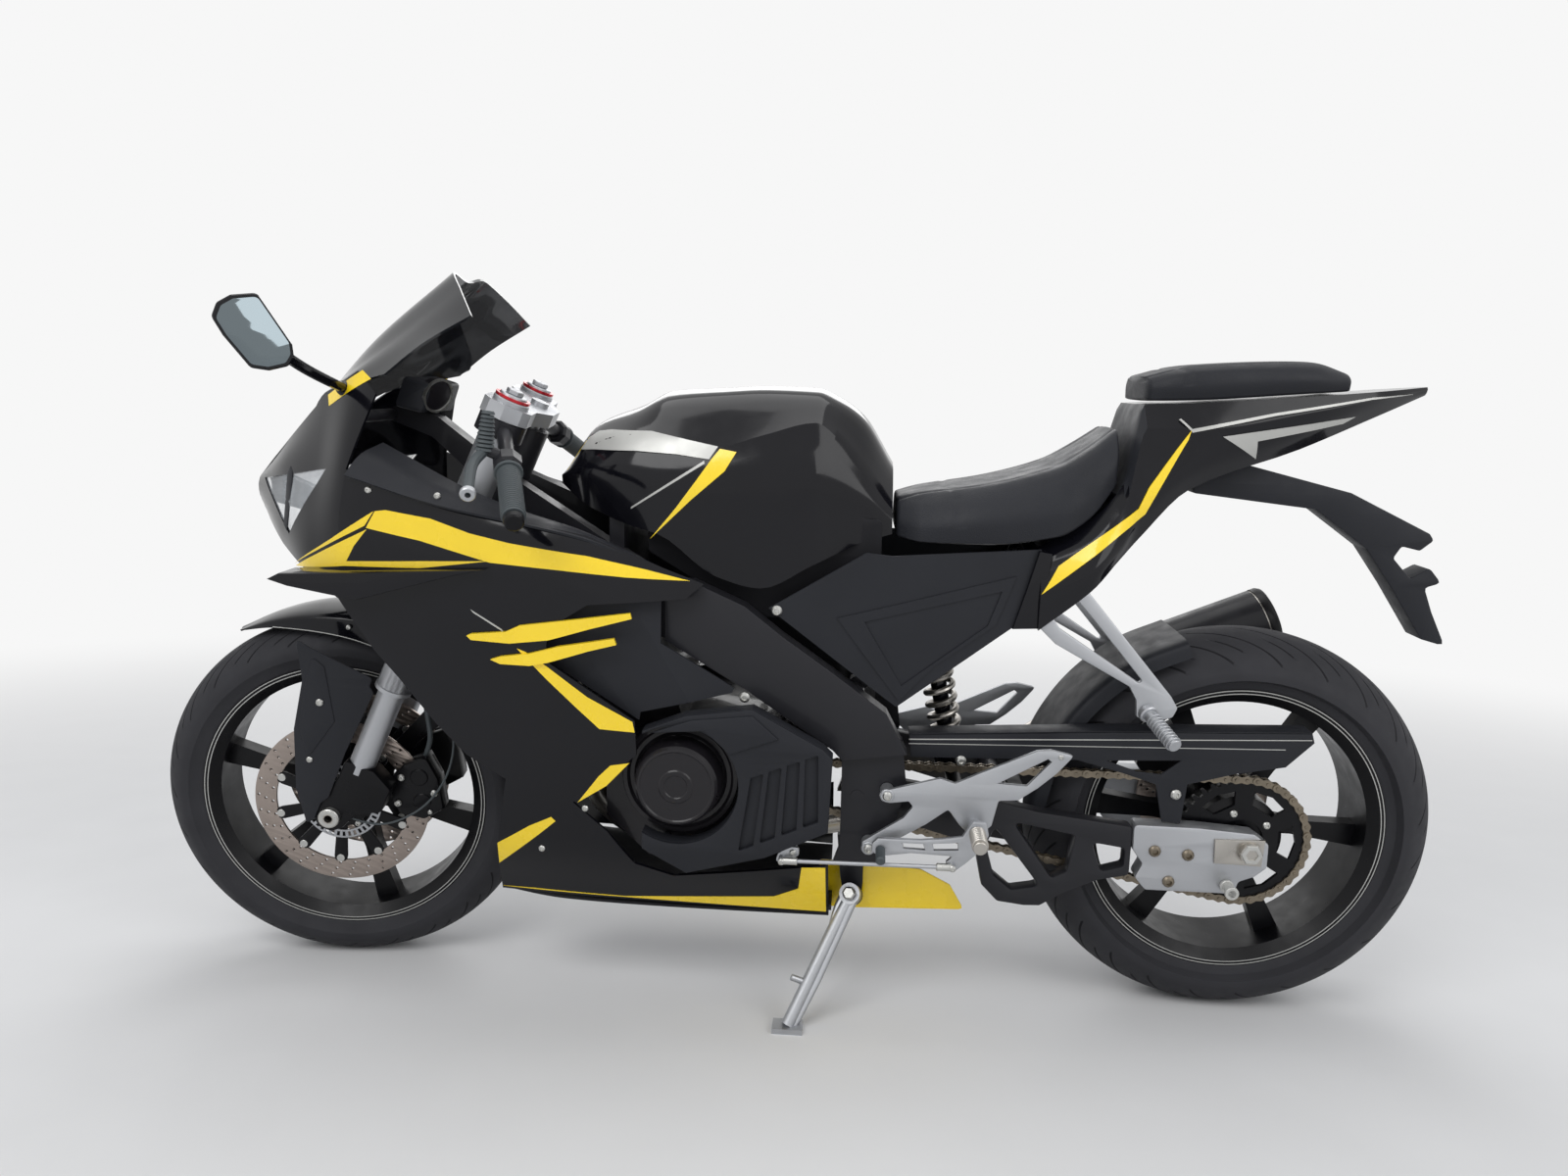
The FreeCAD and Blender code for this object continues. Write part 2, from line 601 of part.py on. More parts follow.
def hand_controls():
    """Clip-on clamps with their bars, and a lever before each grip."""
    x = size("fork_offset")
    y = size("fork_spread")
    high = size("upper_clamp_at") - size("seat_gap")
    low = high - size("clip_height")
    bar_start = Vector(x - 8, y + 20, (high + low) / 2)
    bar_end = Vector(-71, 332, 936)
    run = (bar_end - bar_start).normalize()
    grip_start = bar_end - run * size("grip_length")
    clip = rod("clip_ring", (x, y, low), (x, y, high), "{outer_tube_radius} + {clamp_wall}")
    bar = rod("bar", bar_start, bar_end, "{bar_radius}")
    perch_at = grip_start - run * 20
    perch = block("perch", (perch_at.x - 12, perch_at.y - 16, perch_at.z - 15), (48, 24, 30))
    lever_start = perch_at + Vector(36, 0, 0)
    lever_end = bar_end + Vector(size("lever_reach"), -12, 6)
    lever = rod("lever", lever_start, lever_end, "4.5")
    ball = rod("lever_end", lever_end - Vector(0, 0, 6), lever_end + Vector(0, 0, 6), "7")
    whole = joined("control_solid", [clip, bar, perch, lever, ball])
    hole = rod("clip_hole", (x, y, low - 5), (x, y, high + 5), "{outer_tube_radius} + {seat_gap}")
    controls = pair("hand_controls", combine("Cut", "control_left", whole, hole))
    grip_solid = rod("grip_solid", grip_start, bar_end, "{grip_radius}")
    grip_hole = rod("grip_hole", grip_start - run * 5, bar_end + run * 5, "{bar_radius} + {seat_gap}")
    grips = pair("grips", combine("Cut", "grip_left", grip_solid, grip_hole))
    return [controls, grips]


def brake_hoses():
    ax, az = FORK_AXLE.x, FORK_AXLE.z
    clamp = size("lower_clamp_at") - size("seat_gap")
    route = [(ax - 94, 66, az + 134), (ax - 92, 76, az + 170), (-16, 92, az + 250), (-10, 97, az + 330),
             (-10, 98, clamp)]
    hose = feature("hose_left", tube(route, 4))
    return pair("brake_hoses", hose)


# Chassis

def stand_mount():
    """Bolt and boss that carry the side stand, on its tilted hinge axis."""
    half = size("stand_eye_half") + size("seat_gap")
    boss = rod("stand_boss", along_stand(-half - 20), along_stand(-half), "{stand_radius} + 6")
    bolt = rod("stand_bolt", along_stand(-half - 4), along_stand(half + 6), "{stand_bolt}")
    head = rod("stand_bolt_head", along_stand(half), along_stand(half + 6), "{stand_bolt} + 4")
    return [boss, bolt, head]


def frame():
    spar = plate("spar", [[(870, 700), (830, 700), (755, 667), (697, 622), (625, 572), (545, 513), (513, 452),
                           (608, 439), (622, 454), (752, 542), (870, 612)]], "{spar_outer}", "{spar_thickness}")
    pivot_plate = plate("pivot_plate", [[(520, 470), (511, 396), (527, 330), (543, 268), (617, 269), (608, 297),
                                         (608, 450)]], "{spar_outer} - 16", "{plate_thickness}")
    rear = [(866, 133, 700), (866, 165, 700), (866, 165, 612), (866, 133, 612)]
    front = [(1150, 18, 846), (1150, 48, 846), (1150, 48, 740), (1150, 18, 740)]
    sides = [triangles(rear[i], rear[(i + 1) % 4], front[(i + 1) % 4], front[i]) for i in range(4)]
    arm = feature("spar_arm", solid_from([face for side in sides for face in side] + [rear, front]))
    rail_low = plate("seat_rail", [[(600, 520), (600, 548), (360, 712), (332.5, 724), (332.5, 702)]], "110", "20")
    lug = rod("rail_lug", (590, 90, 534), (590, 134, 534), "12")
    stand_lug = plate("stand_lug", [[(612, 290), (570, 290), (570, 210), (572, 188), (600, 188), (606, 222)]],
                      "{stand_pivot_y} - 24", "12")
    lug_arm = rod("lug_arm", (590, 84, 278), (590, 140, 278), "10")
    left = [spar, pivot_plate, arm, rail_low, lug]
    right = [mirrored(part.Name + "_r", part) for part in left]
    left += [stand_lug, lug_arm] + stand_mount()
    head = rod("head_tube", (0, 0, size("head_tube_low")), (0, 0, size("head_tube_high")), "{head_tube_radius}")
    head.Placement = FORK_POSE.multiply(head.Placement)
    bolt = rod("pivot_bolt", (size("pivot_x"), -150, size("pivot_z")), (size("pivot_x"), 150, size("pivot_z")),
               "{frame_bolt_radius}")
    cross = block("cross_tube", (560, -140, 480), (36, 280, 30))
    tank_rest = plate("tank_rest", [[(940, 690), (962, 700), (962, 795), (940, 787)]], "116", "232")
    shock_tube = rod("shock_tube", (478, -106, 618), (478, 106, 618), "{cross_tube_radius}")
    stay = plate("fairing_stay", [[(1181, 812), (1163, 850), (1256, 921.5), (1306, 935.5), (1322, 938), (1340, 930),
                                    (1328, 914), (1266, 890)]],
                 "16", "32")
    stay_bar = combine("Common", "stay_bar", rod("stay_rod", (1330, -190, 924), (1330, 190, 924), "9"),
                       hull_body(size("skin_wall") + size("seat_gap")))
    whole = joined("frame_solid", left + right + [head, bolt, cross, tank_rest, shock_tube, stay, stay_bar])
    bore = rod("head_bore", (0, 0, size("head_tube_low") - 60), (0, 0, size("head_tube_high") + 60),
               "{stem_radius} + {bearing_fit}")
    bore.Placement = FORK_POSE.multiply(bore.Placement)
    return combine("Cut", "frame", whole, bore)


def engine():
    case = plate("crankcase", [[(705, 300), (740, 268), (900, 268), (965, 330), (965, 440), (900, 470), (705, 470)]],
                 "{crankcase_half}", "2 * {crankcase_half}")
    gearbox = plate("gearbox", [[(640, 310), (710, 300), (710, 450), (640, 430)]], "78", "200")
    cylinders = plate("cylinders", [[(850, 460), (960, 430), (1010, 600), (900, 640)]],
                      "{cylinder_half}", "2 * {cylinder_half}")
    return joined("engine_block", [case, gearbox, cylinders])


def engine_covers():
    """Round covers on both ends of the crankcase: a flange and a domed hub cap on it."""
    start = size("crankcase_half") + size("seat_gap")
    mid = start + size("cover_depth")
    end = mid + size("hub_cover_depth")
    big = size("cover_radius")
    small = size("hub_cover_radius")
    profile = [(start, 0), (start, big), (mid - 6, big), (mid, big - 6), (mid, small + 4), (end - 8, small),
               (end, small - 8), (end, 0)]
    left = turned("engine_cover_left", profile, Vector(848, 0, 404))
    return pair("engine_covers", left)


def engine_shrouds():
    """A faceted shroud open round the cover, with a raised top facet and slots sunk in a louvre frame."""
    outline = [(898, 486), (834, 511), (738, 524), (635, 468), (621, 454), (625, 341), (717, 297), (834, 267),
               (900, 303)]
    shroud = plate("shroud_plate", [outline], "{shroud_outer}", "32")
    facet = plate("shroud_facet", [[(886, 482), (826, 504), (737, 514), (699, 482), (770, 456), (810, 496)]],
                  "{shroud_outer} + {shroud_step}", "{shroud_step} + 4")
    opening = rod("shroud_opening", (848, 100, 404), (848, 300, 404), "{cover_radius} + 3")
    # top and bottom edge of the louvre frame, each from its front end to its rear end
    top = (Vector(743, 419), Vector(638, 461))
    bottom = (Vector(761, 304), Vector(635, 359))
    slots = []
    for i in range(4):
        corners = []
        for (front, rear), shares in ((top, (0.05, 0.2)), (bottom, (0.2, 0.05))):
            corners += [front + (rear - front) * (i / 4 + share) for share in shares]
        slots.append(plate("louvre_%d" % i, [[(p.x, p.y) for p in corners]], "{shroud_outer} + 1",
                           "{louvre_depth} + 1"))
    start = size("crankcase_half") + size("seat_gap")
    bosses = [rod("shroud_boss_%d" % i, (x, start, z), (x, size("shroud_outer") - 30, z), "6")
              for i, (x, z) in enumerate(((745, 305), (720, 440), (872, 301)))]
    stock = joined("shroud_stock", [shroud, facet])
    shell = combine("Cut", "shroud_shell", stock, joined("shroud_cuts", [opening] + slots))
    left = joined("engine_shroud_left", [shell] + bosses)
    return pair("engine_shrouds", left)


def radiator():
    """Radiator core with four stays that reach back to the cylinders."""
    pieces = [plate("radiator_core", [[(1088, 400), (1118, 400), (1088, 610), (1058, 610)]], "{radiator_half}",
                    "2 * {radiator_half}")]
    for i, (y, z, face) in enumerate(((85, 594, 1010.2), (-85, 594, 1010.2), (85, 450, 967.7), (-85, 450, 967.7))):
        pieces.append(rod("radiator_stay_%d" % i, (face, y, z), (1090, y, z), "5"))
    return joined("radiator", pieces)


def exhaust():
    route = [(998.5, 40, 560), (1036, 40, 549), (1034, 34, 440), (1015, 18, 300), (930, -2, 230), (760, -40, 226),
             (600, -106, 226), (440, -192, 232), (330, -200, 330), (122, -191, 478)]
    pipe = feature("exhaust_pipe", tube(route, size("pipe_radius")))
    neck_start = Vector(125, -191, 474.9)
    can_start = Vector(92, -190, 514)
    can_end = Vector(-112, -190, 600)
    neck = doc.addObject("Part::Cone", "silencer_neck")
    bind(neck, Radius1=cell("{pipe_radius} + 2"), Radius2=cell("{silencer_radius} - 2"))
    neck.Height = (can_start - neck_start).Length + 14
    neck.Placement = Placement(neck_start, Rotation(Vector(0, 0, 1), can_start - neck_start))
    can = rod("silencer", can_start, can_end, "{silencer_radius}")
    strap = plate("silencer_strap", [[(154, 566), (30, 566), (30, 540), (110, 536), (146, 536)]],
                  "-138 - {seat_gap}", "8")
    return joined("exhaust", [pipe, neck, can, strap])


def swingarm():
    x, z = size("pivot_x"), size("pivot_z")
    outline = [(x + 18, z + 20), (x, z + 28), (375, 372), (170, 341), (170, 262), (215, 252), (262, 230), (300, 204),
               (365, 209), (390, 235), (404, 300), (x, z - 28), (x + 26, z)]
    holes = [[(228, 312), (180, 305), (180, 277), (212, 267)],
             [(374, 330), (303, 238), (345, 230), (372, 252), (386, 300)],
             [(348, 340), (254, 322), (264, 264), (285, 252)]]
    arm = plate("swingarm_side", [outline] + holes, "{arm_outer}", "{arm_thickness}")
    reach = size("arm_outer") - 3
    tube_across = rod("pivot_tube", (x, -reach, z), (x, reach, z), "{pivot_tube_radius}")
    brace = block("arm_brace", (340, -110, 322), (40, 220, 36))
    shock_foot = rod("shock_foot", (430, -110, 368), (430, 110, 368), "{cross_tube_radius}")
    whole = joined("swingarm_solid", [arm, mirrored("swingarm_side_r", arm), tube_across, brace,
                                      shock_foot])
    bore = rod("pivot_bore", (x, -200, z), (x, 200, z), "{frame_bolt_radius} + {seat_gap}")
    return combine("Cut", "swingarm", whole, bore)


def swingarm_ends():
    outline = [(170, 349), (60, 342), (-10, 340), (-30, 326), (-30, 285), (-10, 270), (8, 262), (10, 246), (22, 240),
               (150, 240), (164, 262), (154, 290), (170, 302)]
    base = plate("end_plate", [outline], "{end_plate_outer}", "{end_plate_thickness}")
    face = Vector(0, size("end_plate_outer"), 0)
    out = Vector(0, size("spool_length"), 0)
    spool = rod("spool", SPOOL_AT + face * 0.97, SPOOL_AT + face + out, "{spool_radius}")
    whole = joined("end_solid", [base, spool])
    hole = rod("end_hole", (0, 80, REAR_AXLE.z), (0, 200, REAR_AXLE.z), "{axle_radius} + {seat_gap}")
    return pair("swingarm_ends", combine("Cut", "swingarm_end_left", whole, hole))


def rear_axle():
    z = REAR_AXLE.z
    end = size("end_plate_outer") + size("seat_gap")
    inner = size("end_plate_outer") - size("end_plate_thickness") - size("seat_gap")
    hub = size("rear_hub_half") + size("seat_gap")
    pieces = [rod("rear_shaft", (0, -end - 12, z), (0, end + 12, z), "{axle_radius}")]
    pieces.append(rod("rear_nut_l", (0, end, z), (0, end + 12, z), "{axle_radius} + 6"))
    pieces.append(rod("rear_nut_r", (0, -end - 12, z), (0, -end, z), "{axle_radius} + 6"))
    pieces.append(rod("rear_spacer_r", (0, -inner, z), (0, -hub, z), "{axle_radius} + 6"))
    pieces.append(rod("rear_spacer_l", (0, size("chain_line") + 4, z), (0, inner, z), "{axle_radius} + 6"))
    return joined("rear_axle", pieces)


def chain_pins():
    """Pins of the chain round both sprockets, one pitch apart along its path, as (point, outward direction)."""
    rear = Vector(0, REAR_AXLE.z, 0)
    front = Vector(size("front_sprocket_x"), size("front_sprocket_z"), 0)
    big = size("rear_sprocket_radius")
    small = size("front_sprocket_radius")
    run = front - rear
    slope = math.atan2(run.y, run.x)
    spread = math.asin((big - small) / run.Length)
    straight = run.Length * math.cos(spread)
    high = slope + math.pi / 2 - spread
    rear_arc = math.pi + 2 * spread
    front_arc = math.pi - 2 * spread
    spans = [big * rear_arc, straight, small * front_arc, straight]
    pitch = 2 * big * math.sin(math.pi / size("rear_sprocket_teeth"))
    count = 2 * round(sum(spans) / pitch / 2)

    def at(angle):
        return Vector(math.cos(angle), math.sin(angle), 0)

    low = high + rear_arc
    pins = []
    for i in range(count):
        along = sum(spans) * i / count
        if along < spans[0]:
            out = at(high + along / big)
            point = rear + out * big
        elif along < spans[0] + straight:
            out = at(low)
            point = rear + out * big + Vector(-out.y, out.x, 0) * (along - spans[0])
        elif along < sum(spans[:3]):
            out = at(low + (along - sum(spans[:2])) / small)
            point = front + out * small
        else:
            out = at(high)
            point = front + out * small + Vector(-out.y, out.x, 0) * (along - sum(spans[:3]))
        pins.append((point, out))
    return pins


def chain():
    """Two ribbons of inner plates round the pins, outer plates on every second link, and rollers that tie them."""
    half = size("chain_height") / 2
    gap = size("chain_gap")
    wide = size("chain_plate")
    line = size("chain_line")
    pins = chain_pins()
    count = len(pins)
    bends = [(point, out) for i, (point, out) in enumerate(pins)
             if (out - pins[i - 1][1]).Length + (out - pins[(i + 1) % count][1]).Length > 1e-6]

    def band(y):
        edges = []
        for side in (half, -half):
            points = [point + out * side for point, out in bends]
            edges.append(Part.makePolygon([Vector(p.x, y, p.y) for p in points + points[:1]]))
        return Part.Face(edges[0]).cut(Part.Face(edges[1])).extrude(Vector(0, wide, 0))

    inboard = band(line - gap / 2 - wide)
    links = [band(line + gap / 2)]
    rise = half - size("chain_waist")
    for i in range(0, count, 2):
        here, after = pins[i][0], pins[(i + 1) % count][0]
        ahead = (after - here).normalize() * 5
        out = Vector(-ahead.y, ahead.x, 0) * (rise / 5)
        corners = [here - ahead + out, after + ahead + out, after + ahead - out, here - ahead - out]
        wire = Part.makePolygon([Vector(p.x, line + gap / 2 + wide - 0.5, p.y) for p in corners + corners[:1]])
        links.append(Part.Face(wire).extrude(Vector(0, wide + 0.3, 0)))
    for share in (0.24, 0.32, 0.4, 0.66, 0.76, 0.88):
        pin = pins[int(count * share)][0]
        corners = [(pin.x + dx, pin.y + dz) for dx, dz in (polar(4, 60 * k) for k in range(6))]
        wire = Part.makePolygon([Vector(x, line - gap / 2 - 1, z) for x, z in corners + corners[:1]])
        links.append(Part.Face(wire).extrude(Vector(0, gap + 2, 0)))
    return feature("chain", links[0].multiFuse(links[1:] + [inboard]).removeSplitter())


def rear_guards():
    """Chain guard over the upper run and a fender hugging the tyre, both on the swingarm."""
    outline = [(509, 471), (200, 488), (-75, 497), (-80, 481), (-43, 442), (29, 428), (95, 409), (100, 344.9),
               (128, 346.7), (141, 407), (185, 421), (258, 440), (505, 434)]
    window = [(215, 441), (107, 446), (135, 423), (171, 426)]
    side = plate("guard_side", [outline, window], "{guard_outer}", "{guard_wall}")
    cover = plate("guard_cover", [[(509, 471), (200, 488), (-75, 497), (-75, 493), (200, 484), (509, 467)]],
                  "{guard_outer}", "36")
    guard = joined("chain_guard", [side, cover])
    r = size("hugger_radius")
    half = size("hugger_half_width")
    wall = size("guard_wall")
    rows = []
    inner = []
    for angle in (6, 20, 33, 46, 59, 72):
        a = math.radians(angle)
        across = [(-half, 24), (-half, 8), (-half * 0.8, 0), (half * 0.8, 0), (half, 8), (half, 24)]
        rows.append([((r - d) * math.cos(a), y, 312 + (r - d) * math.sin(a)) for y, d in across])
        slim = (half - wall) / half
        inner.append([((r - wall - d) * math.cos(a), y * slim, 312 + (r - wall - d) * math.sin(a)) for y, d in across])
    arch = feature("hugger_arch", grid_solid(rows, inner))
    foot = block("hugger_foot", (315, -30, 344), (24.7, 60, 10))
    hugger = joined("hugger", [arch, foot])
    return group("rear_guards", [guard, hugger])


def rear_shock():
    low = Vector(430, 0, 368)
    high = Vector(478, 0, 618)
    run = (high - low).normalize()
    seat = size("cross_tube_radius") + size("seat_gap")
    eyes = rod("shock_eyes", low + run * seat, high - run * seat, "9")
    return joined("rear_shock", [eyes, rod("shock_coil", low + run * 40, high - run * 40, "{shock_radius}")])


def rear_caliper():
    z = REAR_AXLE.z
    outline = [(35, z + 62), (58, z + 24), (96, z + 24), (118, z + 56), (112, z + 100), (60, z + 124), (28, z + 98)]
    body = plate("rear_caliper_body", [outline], "-68", "{end_plate_outer} - {end_plate_thickness} - {seat_gap} - 68")
    at = size("rear_disc_at")
    gap = size("disc_thickness") / 2 + size("pad_clearance")
    r = size("rear_disc_radius") + 5
    slot = turned("rear_caliper_slot", [(-at - gap, 0), (-at - gap, r), (-at + gap, r), (-at + gap, 0)], REAR_AXLE)
    return combine("Cut", "rear_caliper", body, slot)


# Bodywork: one hull of sections, from which the fairing panels are cut

VENT_POSTS = [(892, 694), (1010, 683), (1062, 600), (972, 526)]
# station x, then (height, half width) at the crest, belt, widest line, mid line, lower edge and keel
HULL = [
    (1556, (823, 8), (816, 15), (806, 18), (796, 17), (788, 14), (780, 8)),
    (1470, (892, 58), (846, 90), (800, 104), (752, 110), (722, 106), (700, 90)),
    (1390, (955, 100), (852, 142), (780, 168), (706, 178), (660, 172), (600, 150)),
    (1325, (992, 130), (852, 186), (776, 202), (668, 202), (592, 192), (520, 170)),
    (1180, (830, 196), (790, 209), (720, 217), (560, 209), (330, 187), (196, 130)),
    (1040, (800, 190), (757, 213), (680, 218), (520, 212), (320, 188), (182, 132)),
    (900, (762, 176), (722, 196), (650, 207), (480, 206), (310, 186), (176, 130)),
    (790, (715, 160), (700, 172), (640, 186), (450, 198), (300, 182), (174, 128)),
    (600, (640, 150), (600, 156), (500, 164), (400, 172), (290, 170), (172, 124)),
]


def hull_grid(depth):
    rows = []
    for x, *levels in HULL:
        rows.append([(x, y, z) for z, y in levels])
    return shifted(rows, depth) if depth else rows


def flipped(grid):
    return [[(x, -y, z) for x, y, z in row] for row in grid]


def hull_skin(name, start, end):
    """Both sides of the hull between two depths under its surface."""
    left = grid_solid(hull_grid(start), hull_grid(end))
    return pair(name, feature(name + "_left", left))


def hull_body(depth):
    """Closed solid of the whole hull at a depth under its surface; a negative depth lies outside it."""
    left = hull_grid(depth)
    right = flipped(left)
    faces = []
    for i in range(len(left) - 1):
        for j in range(len(left[0]) - 1):
            corners = [(i, j), (i + 1, j), (i + 1, j + 1), (i, j + 1)]
            faces += triangles(*[left[a][b] for a, b in corners])
            faces += triangles(*[right[a][b] for a, b in reversed(corners[1:] + corners[:1])])
        for j in (0, -1):
            faces += triangles(left[i][j], left[i + 1][j], right[i + 1][j], right[i][j])
    for i in (0, -1):
        ring = left[i] + right[i][::-1]
        middle = tuple(sum(p[k] for p in ring) / len(ring) for k in range(3))
        faces += [[middle, p, q] for p, q in zip(ring, ring[1:] + ring[:1])]
    return feature("hull_body", solid_from(faces))


def crown_grid(lift):
    """Top of the nose ahead of the screen, lifted by a height."""
    rows = ((1555, 10, 821, 824), (1470, 61, 888, 902), (1436, 79, 914, 926))
    return [[(x, -y, low + lift), (x, 0, high + lift), (x, y, low + lift)] for x, y, low, high in rows]


def fairing():
    wall = size("skin_wall")
    skin = hull_skin("fairing_skin", 0, wall)
    nose_line = [(1325, 852), (1342, 700), (1342, 666), (1414, 706), (1600, 770), (1600, 1050), (1290, 1050),
                 (1290, 960)]
    side_line = [(1325, 852), (1183, 812), (976, 768), (812, 700), (835, 684), (837, 680), (972, 672), (1028, 637),
                 (1035, 590), (908, 501), (906, 449), (1004, 368), (1033, 346), (1135, 240), (1130, 272),
                 (1118, 330), (1104, 401), (1161, 437), (1206, 486), (1256, 550), (1293, 592), (1342, 666), (1342, 700)]
    lamp_line = [(1532, 822), (1368, 850), (1446, 748)]
    nose_shell = combine("Common", "nose_shell", skin, prism("nose_prism", nose_line))
    lamp_prism = prism("lamp_prism", lamp_line)
    nose_sides = combine("Cut", "nose_sides", nose_shell, lamp_prism)
    lamp_skin = hull_skin("lamp_skin", 0.5, 14)
    lenses = combine("Common", "lamp_lenses", lamp_skin, prism("lens_prism", lamp_line))
    sides = combine("Common", "side_fairings", skin, prism("side_prism", side_line))
    crown = feature("nose_crown", grid_solid(crown_grid(0), crown_grid(-wall)))
    nose = joined("nose_cowl", [nose_sides, crown])
    return [nose, lenses, sides]


def inserts():
    """Vent panels behind the fairing's opening and the small wings on its front edge."""
    deep = size("vent_recess")
    skin = hull_skin("vent_skin", deep, deep + size("skin_wall"))
    line = [(1166, 684), (1162, 664), (906, 496), (904, 508), (772, 537), (768, 544), (874, 612), (874, 704)]
    panel = combine("Common", "vent_floor", skin, prism("vent_prism", line))
    gap = size("skin_wall") + size("seat_gap")
    posts = [rod("vent_post_%d" % i, (x, -260, z), (x, 260, z), "5") for i, (x, z) in enumerate(VENT_POSTS)]
    risers = combine("Common", "vent_risers", joined("vent_stock", posts), hull_skin("vent_riser_skin", gap, deep + 1))
    return joined("vent_panels", [panel, risers])


def winglets(core):
    line = [(1427, 699), (1398, 690), (1341, 680), (1298, 673), (1153, 713), (1110, 720), (1281, 713), (1409, 708)]
    blade = plate("winglet_plate", [line], "238", "60")
    left = combine("Cut", "winglet_left", blade, core)
    return pair("winglets", left)


def gill_blades(core):
    upper = [(1146, 623), (1140, 617), (1084, 614), (1027, 621), (970, 638), (909, 654), (911, 662), (1026, 647),
             (1068, 641), (1089, 631), (1140, 626)]
    lower = [(1113, 589), (1099, 583), (1056, 582), (1028, 588), (971, 606), (931, 616), (934, 625), (1013, 612),
             (1056, 600), (1098, 594)]
    blades = joined("gill_stock", [plate("gill_" + name, [line], "228", "40")
                                   for name, line in (("upper", upper), ("lower", lower))])
    left = combine("Cut", "gill_left", blades, core)
    return pair("gill_blades", left)


def belly_pan():
    wall = size("skin_wall")
    grid = [[(x, y, z) for z, y in levels] + [(x, 0, levels[-1][0] - 4)] for x, *levels in HULL]
    half = grid_solid(grid, shifted(grid, wall))
    left = feature("belly_half", half)
    whole = joined("belly_skin", [left, mirrored("belly_half_r", left)])
    line = [(1135, 240), (1033, 346), (1004, 368), (929, 264), (624, 273), (618, 160), (1140, 150)]
    pan = combine("Common", "belly_shell", whole, prism("belly_prism", line))
    tail = plate("belly_tail", [[(640, 240), (533, 235), (479, 231), (432, 207), (408, 166), (578, 160), (640, 160)]],
                 "80", "{skin_wall}")
    arm = block("belly_arm", (622, 76, 178), (16, 51, 10))
    return joined("belly_pan", [pan, tail, arm])


def windscreen():
    wall = size("screen_wall")
    # rows from the foot of the screen to its crest, columns from the centre to the side
    half = [[(1446, 0, 923), (1437, 50, 923), (1394, 97, 957), (1280, 144, 986)],
            [(1340, 0, 1030), (1330, 58, 1036), (1296, 104, 1022), (1222, 142, 1030)],
            [(1206, 0, 1128), (1204, 58, 1136), (1180, 100, 1108), (1152, 136, 1070)]]
    rows = []
    for line in half:
        rows.append([(x, -y, z) for x, y, z in reversed(line[1:])] + line)
    pane = feature("screen_pane", grid_solid(rows, shifted(rows, wall)))
    gap = size("seat_gap")
    seat = joined("screen_seat", [hull_body(-gap), feature("crown_seat", grid_solid(crown_grid(gap), crown_grid(-20)))])
    return combine("Cut", "windscreen", pane, seat)


def cockpit_panels():
    wall = size("skin_wall")
    outer = [(1322, 205, 846), (1183, 220, 808), (976, 205, 764), (838, 190, 704)]
    inner = [(1290, 136, 886), (1160, 146, 822), (1000, 156, 772), (900, 146, 726)]
    rows = [[a, b] for a, b in zip(outer, inner)]
    low = [[(x, y, z - wall) for x, y, z in row] for row in rows]
    sheet_left = feature("cockpit_sheet", grid_solid(rows, low))
    panel = combine("Common", "cockpit_panel", sheet_left, hull_body(size("skin_wall") + size("seat_gap")))
    dash = plate("dash_case", [[(1306, 936), (1256, 922), (1240, 985), (1292, 988)]], "80", "160")
    return group("cockpit_panels", [panel, mirrored("cockpit_panel_r", panel), dash])


def mirrors():
    w = size("mirror_width") / 2
    hgt = size("mirror_height") / 2
    d = size("mirror_depth")
    front = [(-w, 0, -0.7 * hgt), (-0.4 * w, 0, -hgt), (0.85 * w, 0, -hgt), (w, 0, -0.3 * hgt), (0.7 * w, 0, hgt),
             (-0.8 * w, 0, hgt * 0.9)]
    back = [(0.62 * x, -d, 0.62 * z) for x, y, z in front]
    faces = [front, back]
    for i in range(6):
        faces += triangles(front[i], front[(i + 1) % 6], back[(i + 1) % 6], back[i])
    head = feature("mirror_head", solid_from(faces))
    head.Placement = Placement(Vector(1352, 338, 1034), Rotation(Vector(0, 0, 1), size("mirror_turn")))
    stem = rod("mirror_stem", (1350, 90, 955), (1352, 322, 1030), "7")
    foot = rod("mirror_foot", (1350, 90, 955), (1350, 132, 967.4), "13")
    arm = combine("Cut", "mirror_arm", joined("mirror_stock", [stem, foot]), hull_body(-size("seat_gap")))
    return pair("mirrors", joined("mirror_left", [head, arm]))


def section(x, rows):
    """Closed cross-section at x from (height, half width) rows, top to bottom."""
    right = [(x, y, z) for z, y in rows]
    return right + [(x, -y, z) for z, y in reversed(rows)]


def lofted(name, stations):
    """Closed solid through flat sections with as many points each; x, then (height, half width) rows."""
    rings = [section(x, rows) for x, rows in stations]
    count = len(rings[0])
    faces = [rings[0], rings[-1]]
    for a, b in zip(rings, rings[1:]):
        for i in range(count):
            j = (i + 1) % count
            faces += triangles(a[i], a[j], b[j], b[i])
    return feature(name, solid_from(faces))


def fuel_tank():
    # station x, then (height, half width): crown edge, shoulder, knee line, lower edge
    return lofted("fuel_tank", [
        (1050, [(845, 20), (842, 38), (838, 52), (828, 50)]),
        (1000, [(912, 30), (885, 80), (846, 106), (810, 97)]),
        (930, [(940, 44), (906, 112), (850, 136), (784, 130)]),
        (885, [(960, 52), (900, 128), (840, 150), (768, 146)]),
        (800, [(968, 56), (893, 138), (830, 153), (719, 146)]),
        (734, [(972, 56), (910, 130), (840, 150), (694, 146)]),
        (660, [(970, 52), (928, 110), (850, 140), (728, 136)]),
        (630, [(958, 48), (908, 106), (840, 128), (738, 126)]),
        (590, [(930, 44), (862, 100), (820, 113), (760, 112)]),
        (545, [(860, 36), (802, 88), (790, 92), (768, 96)])])


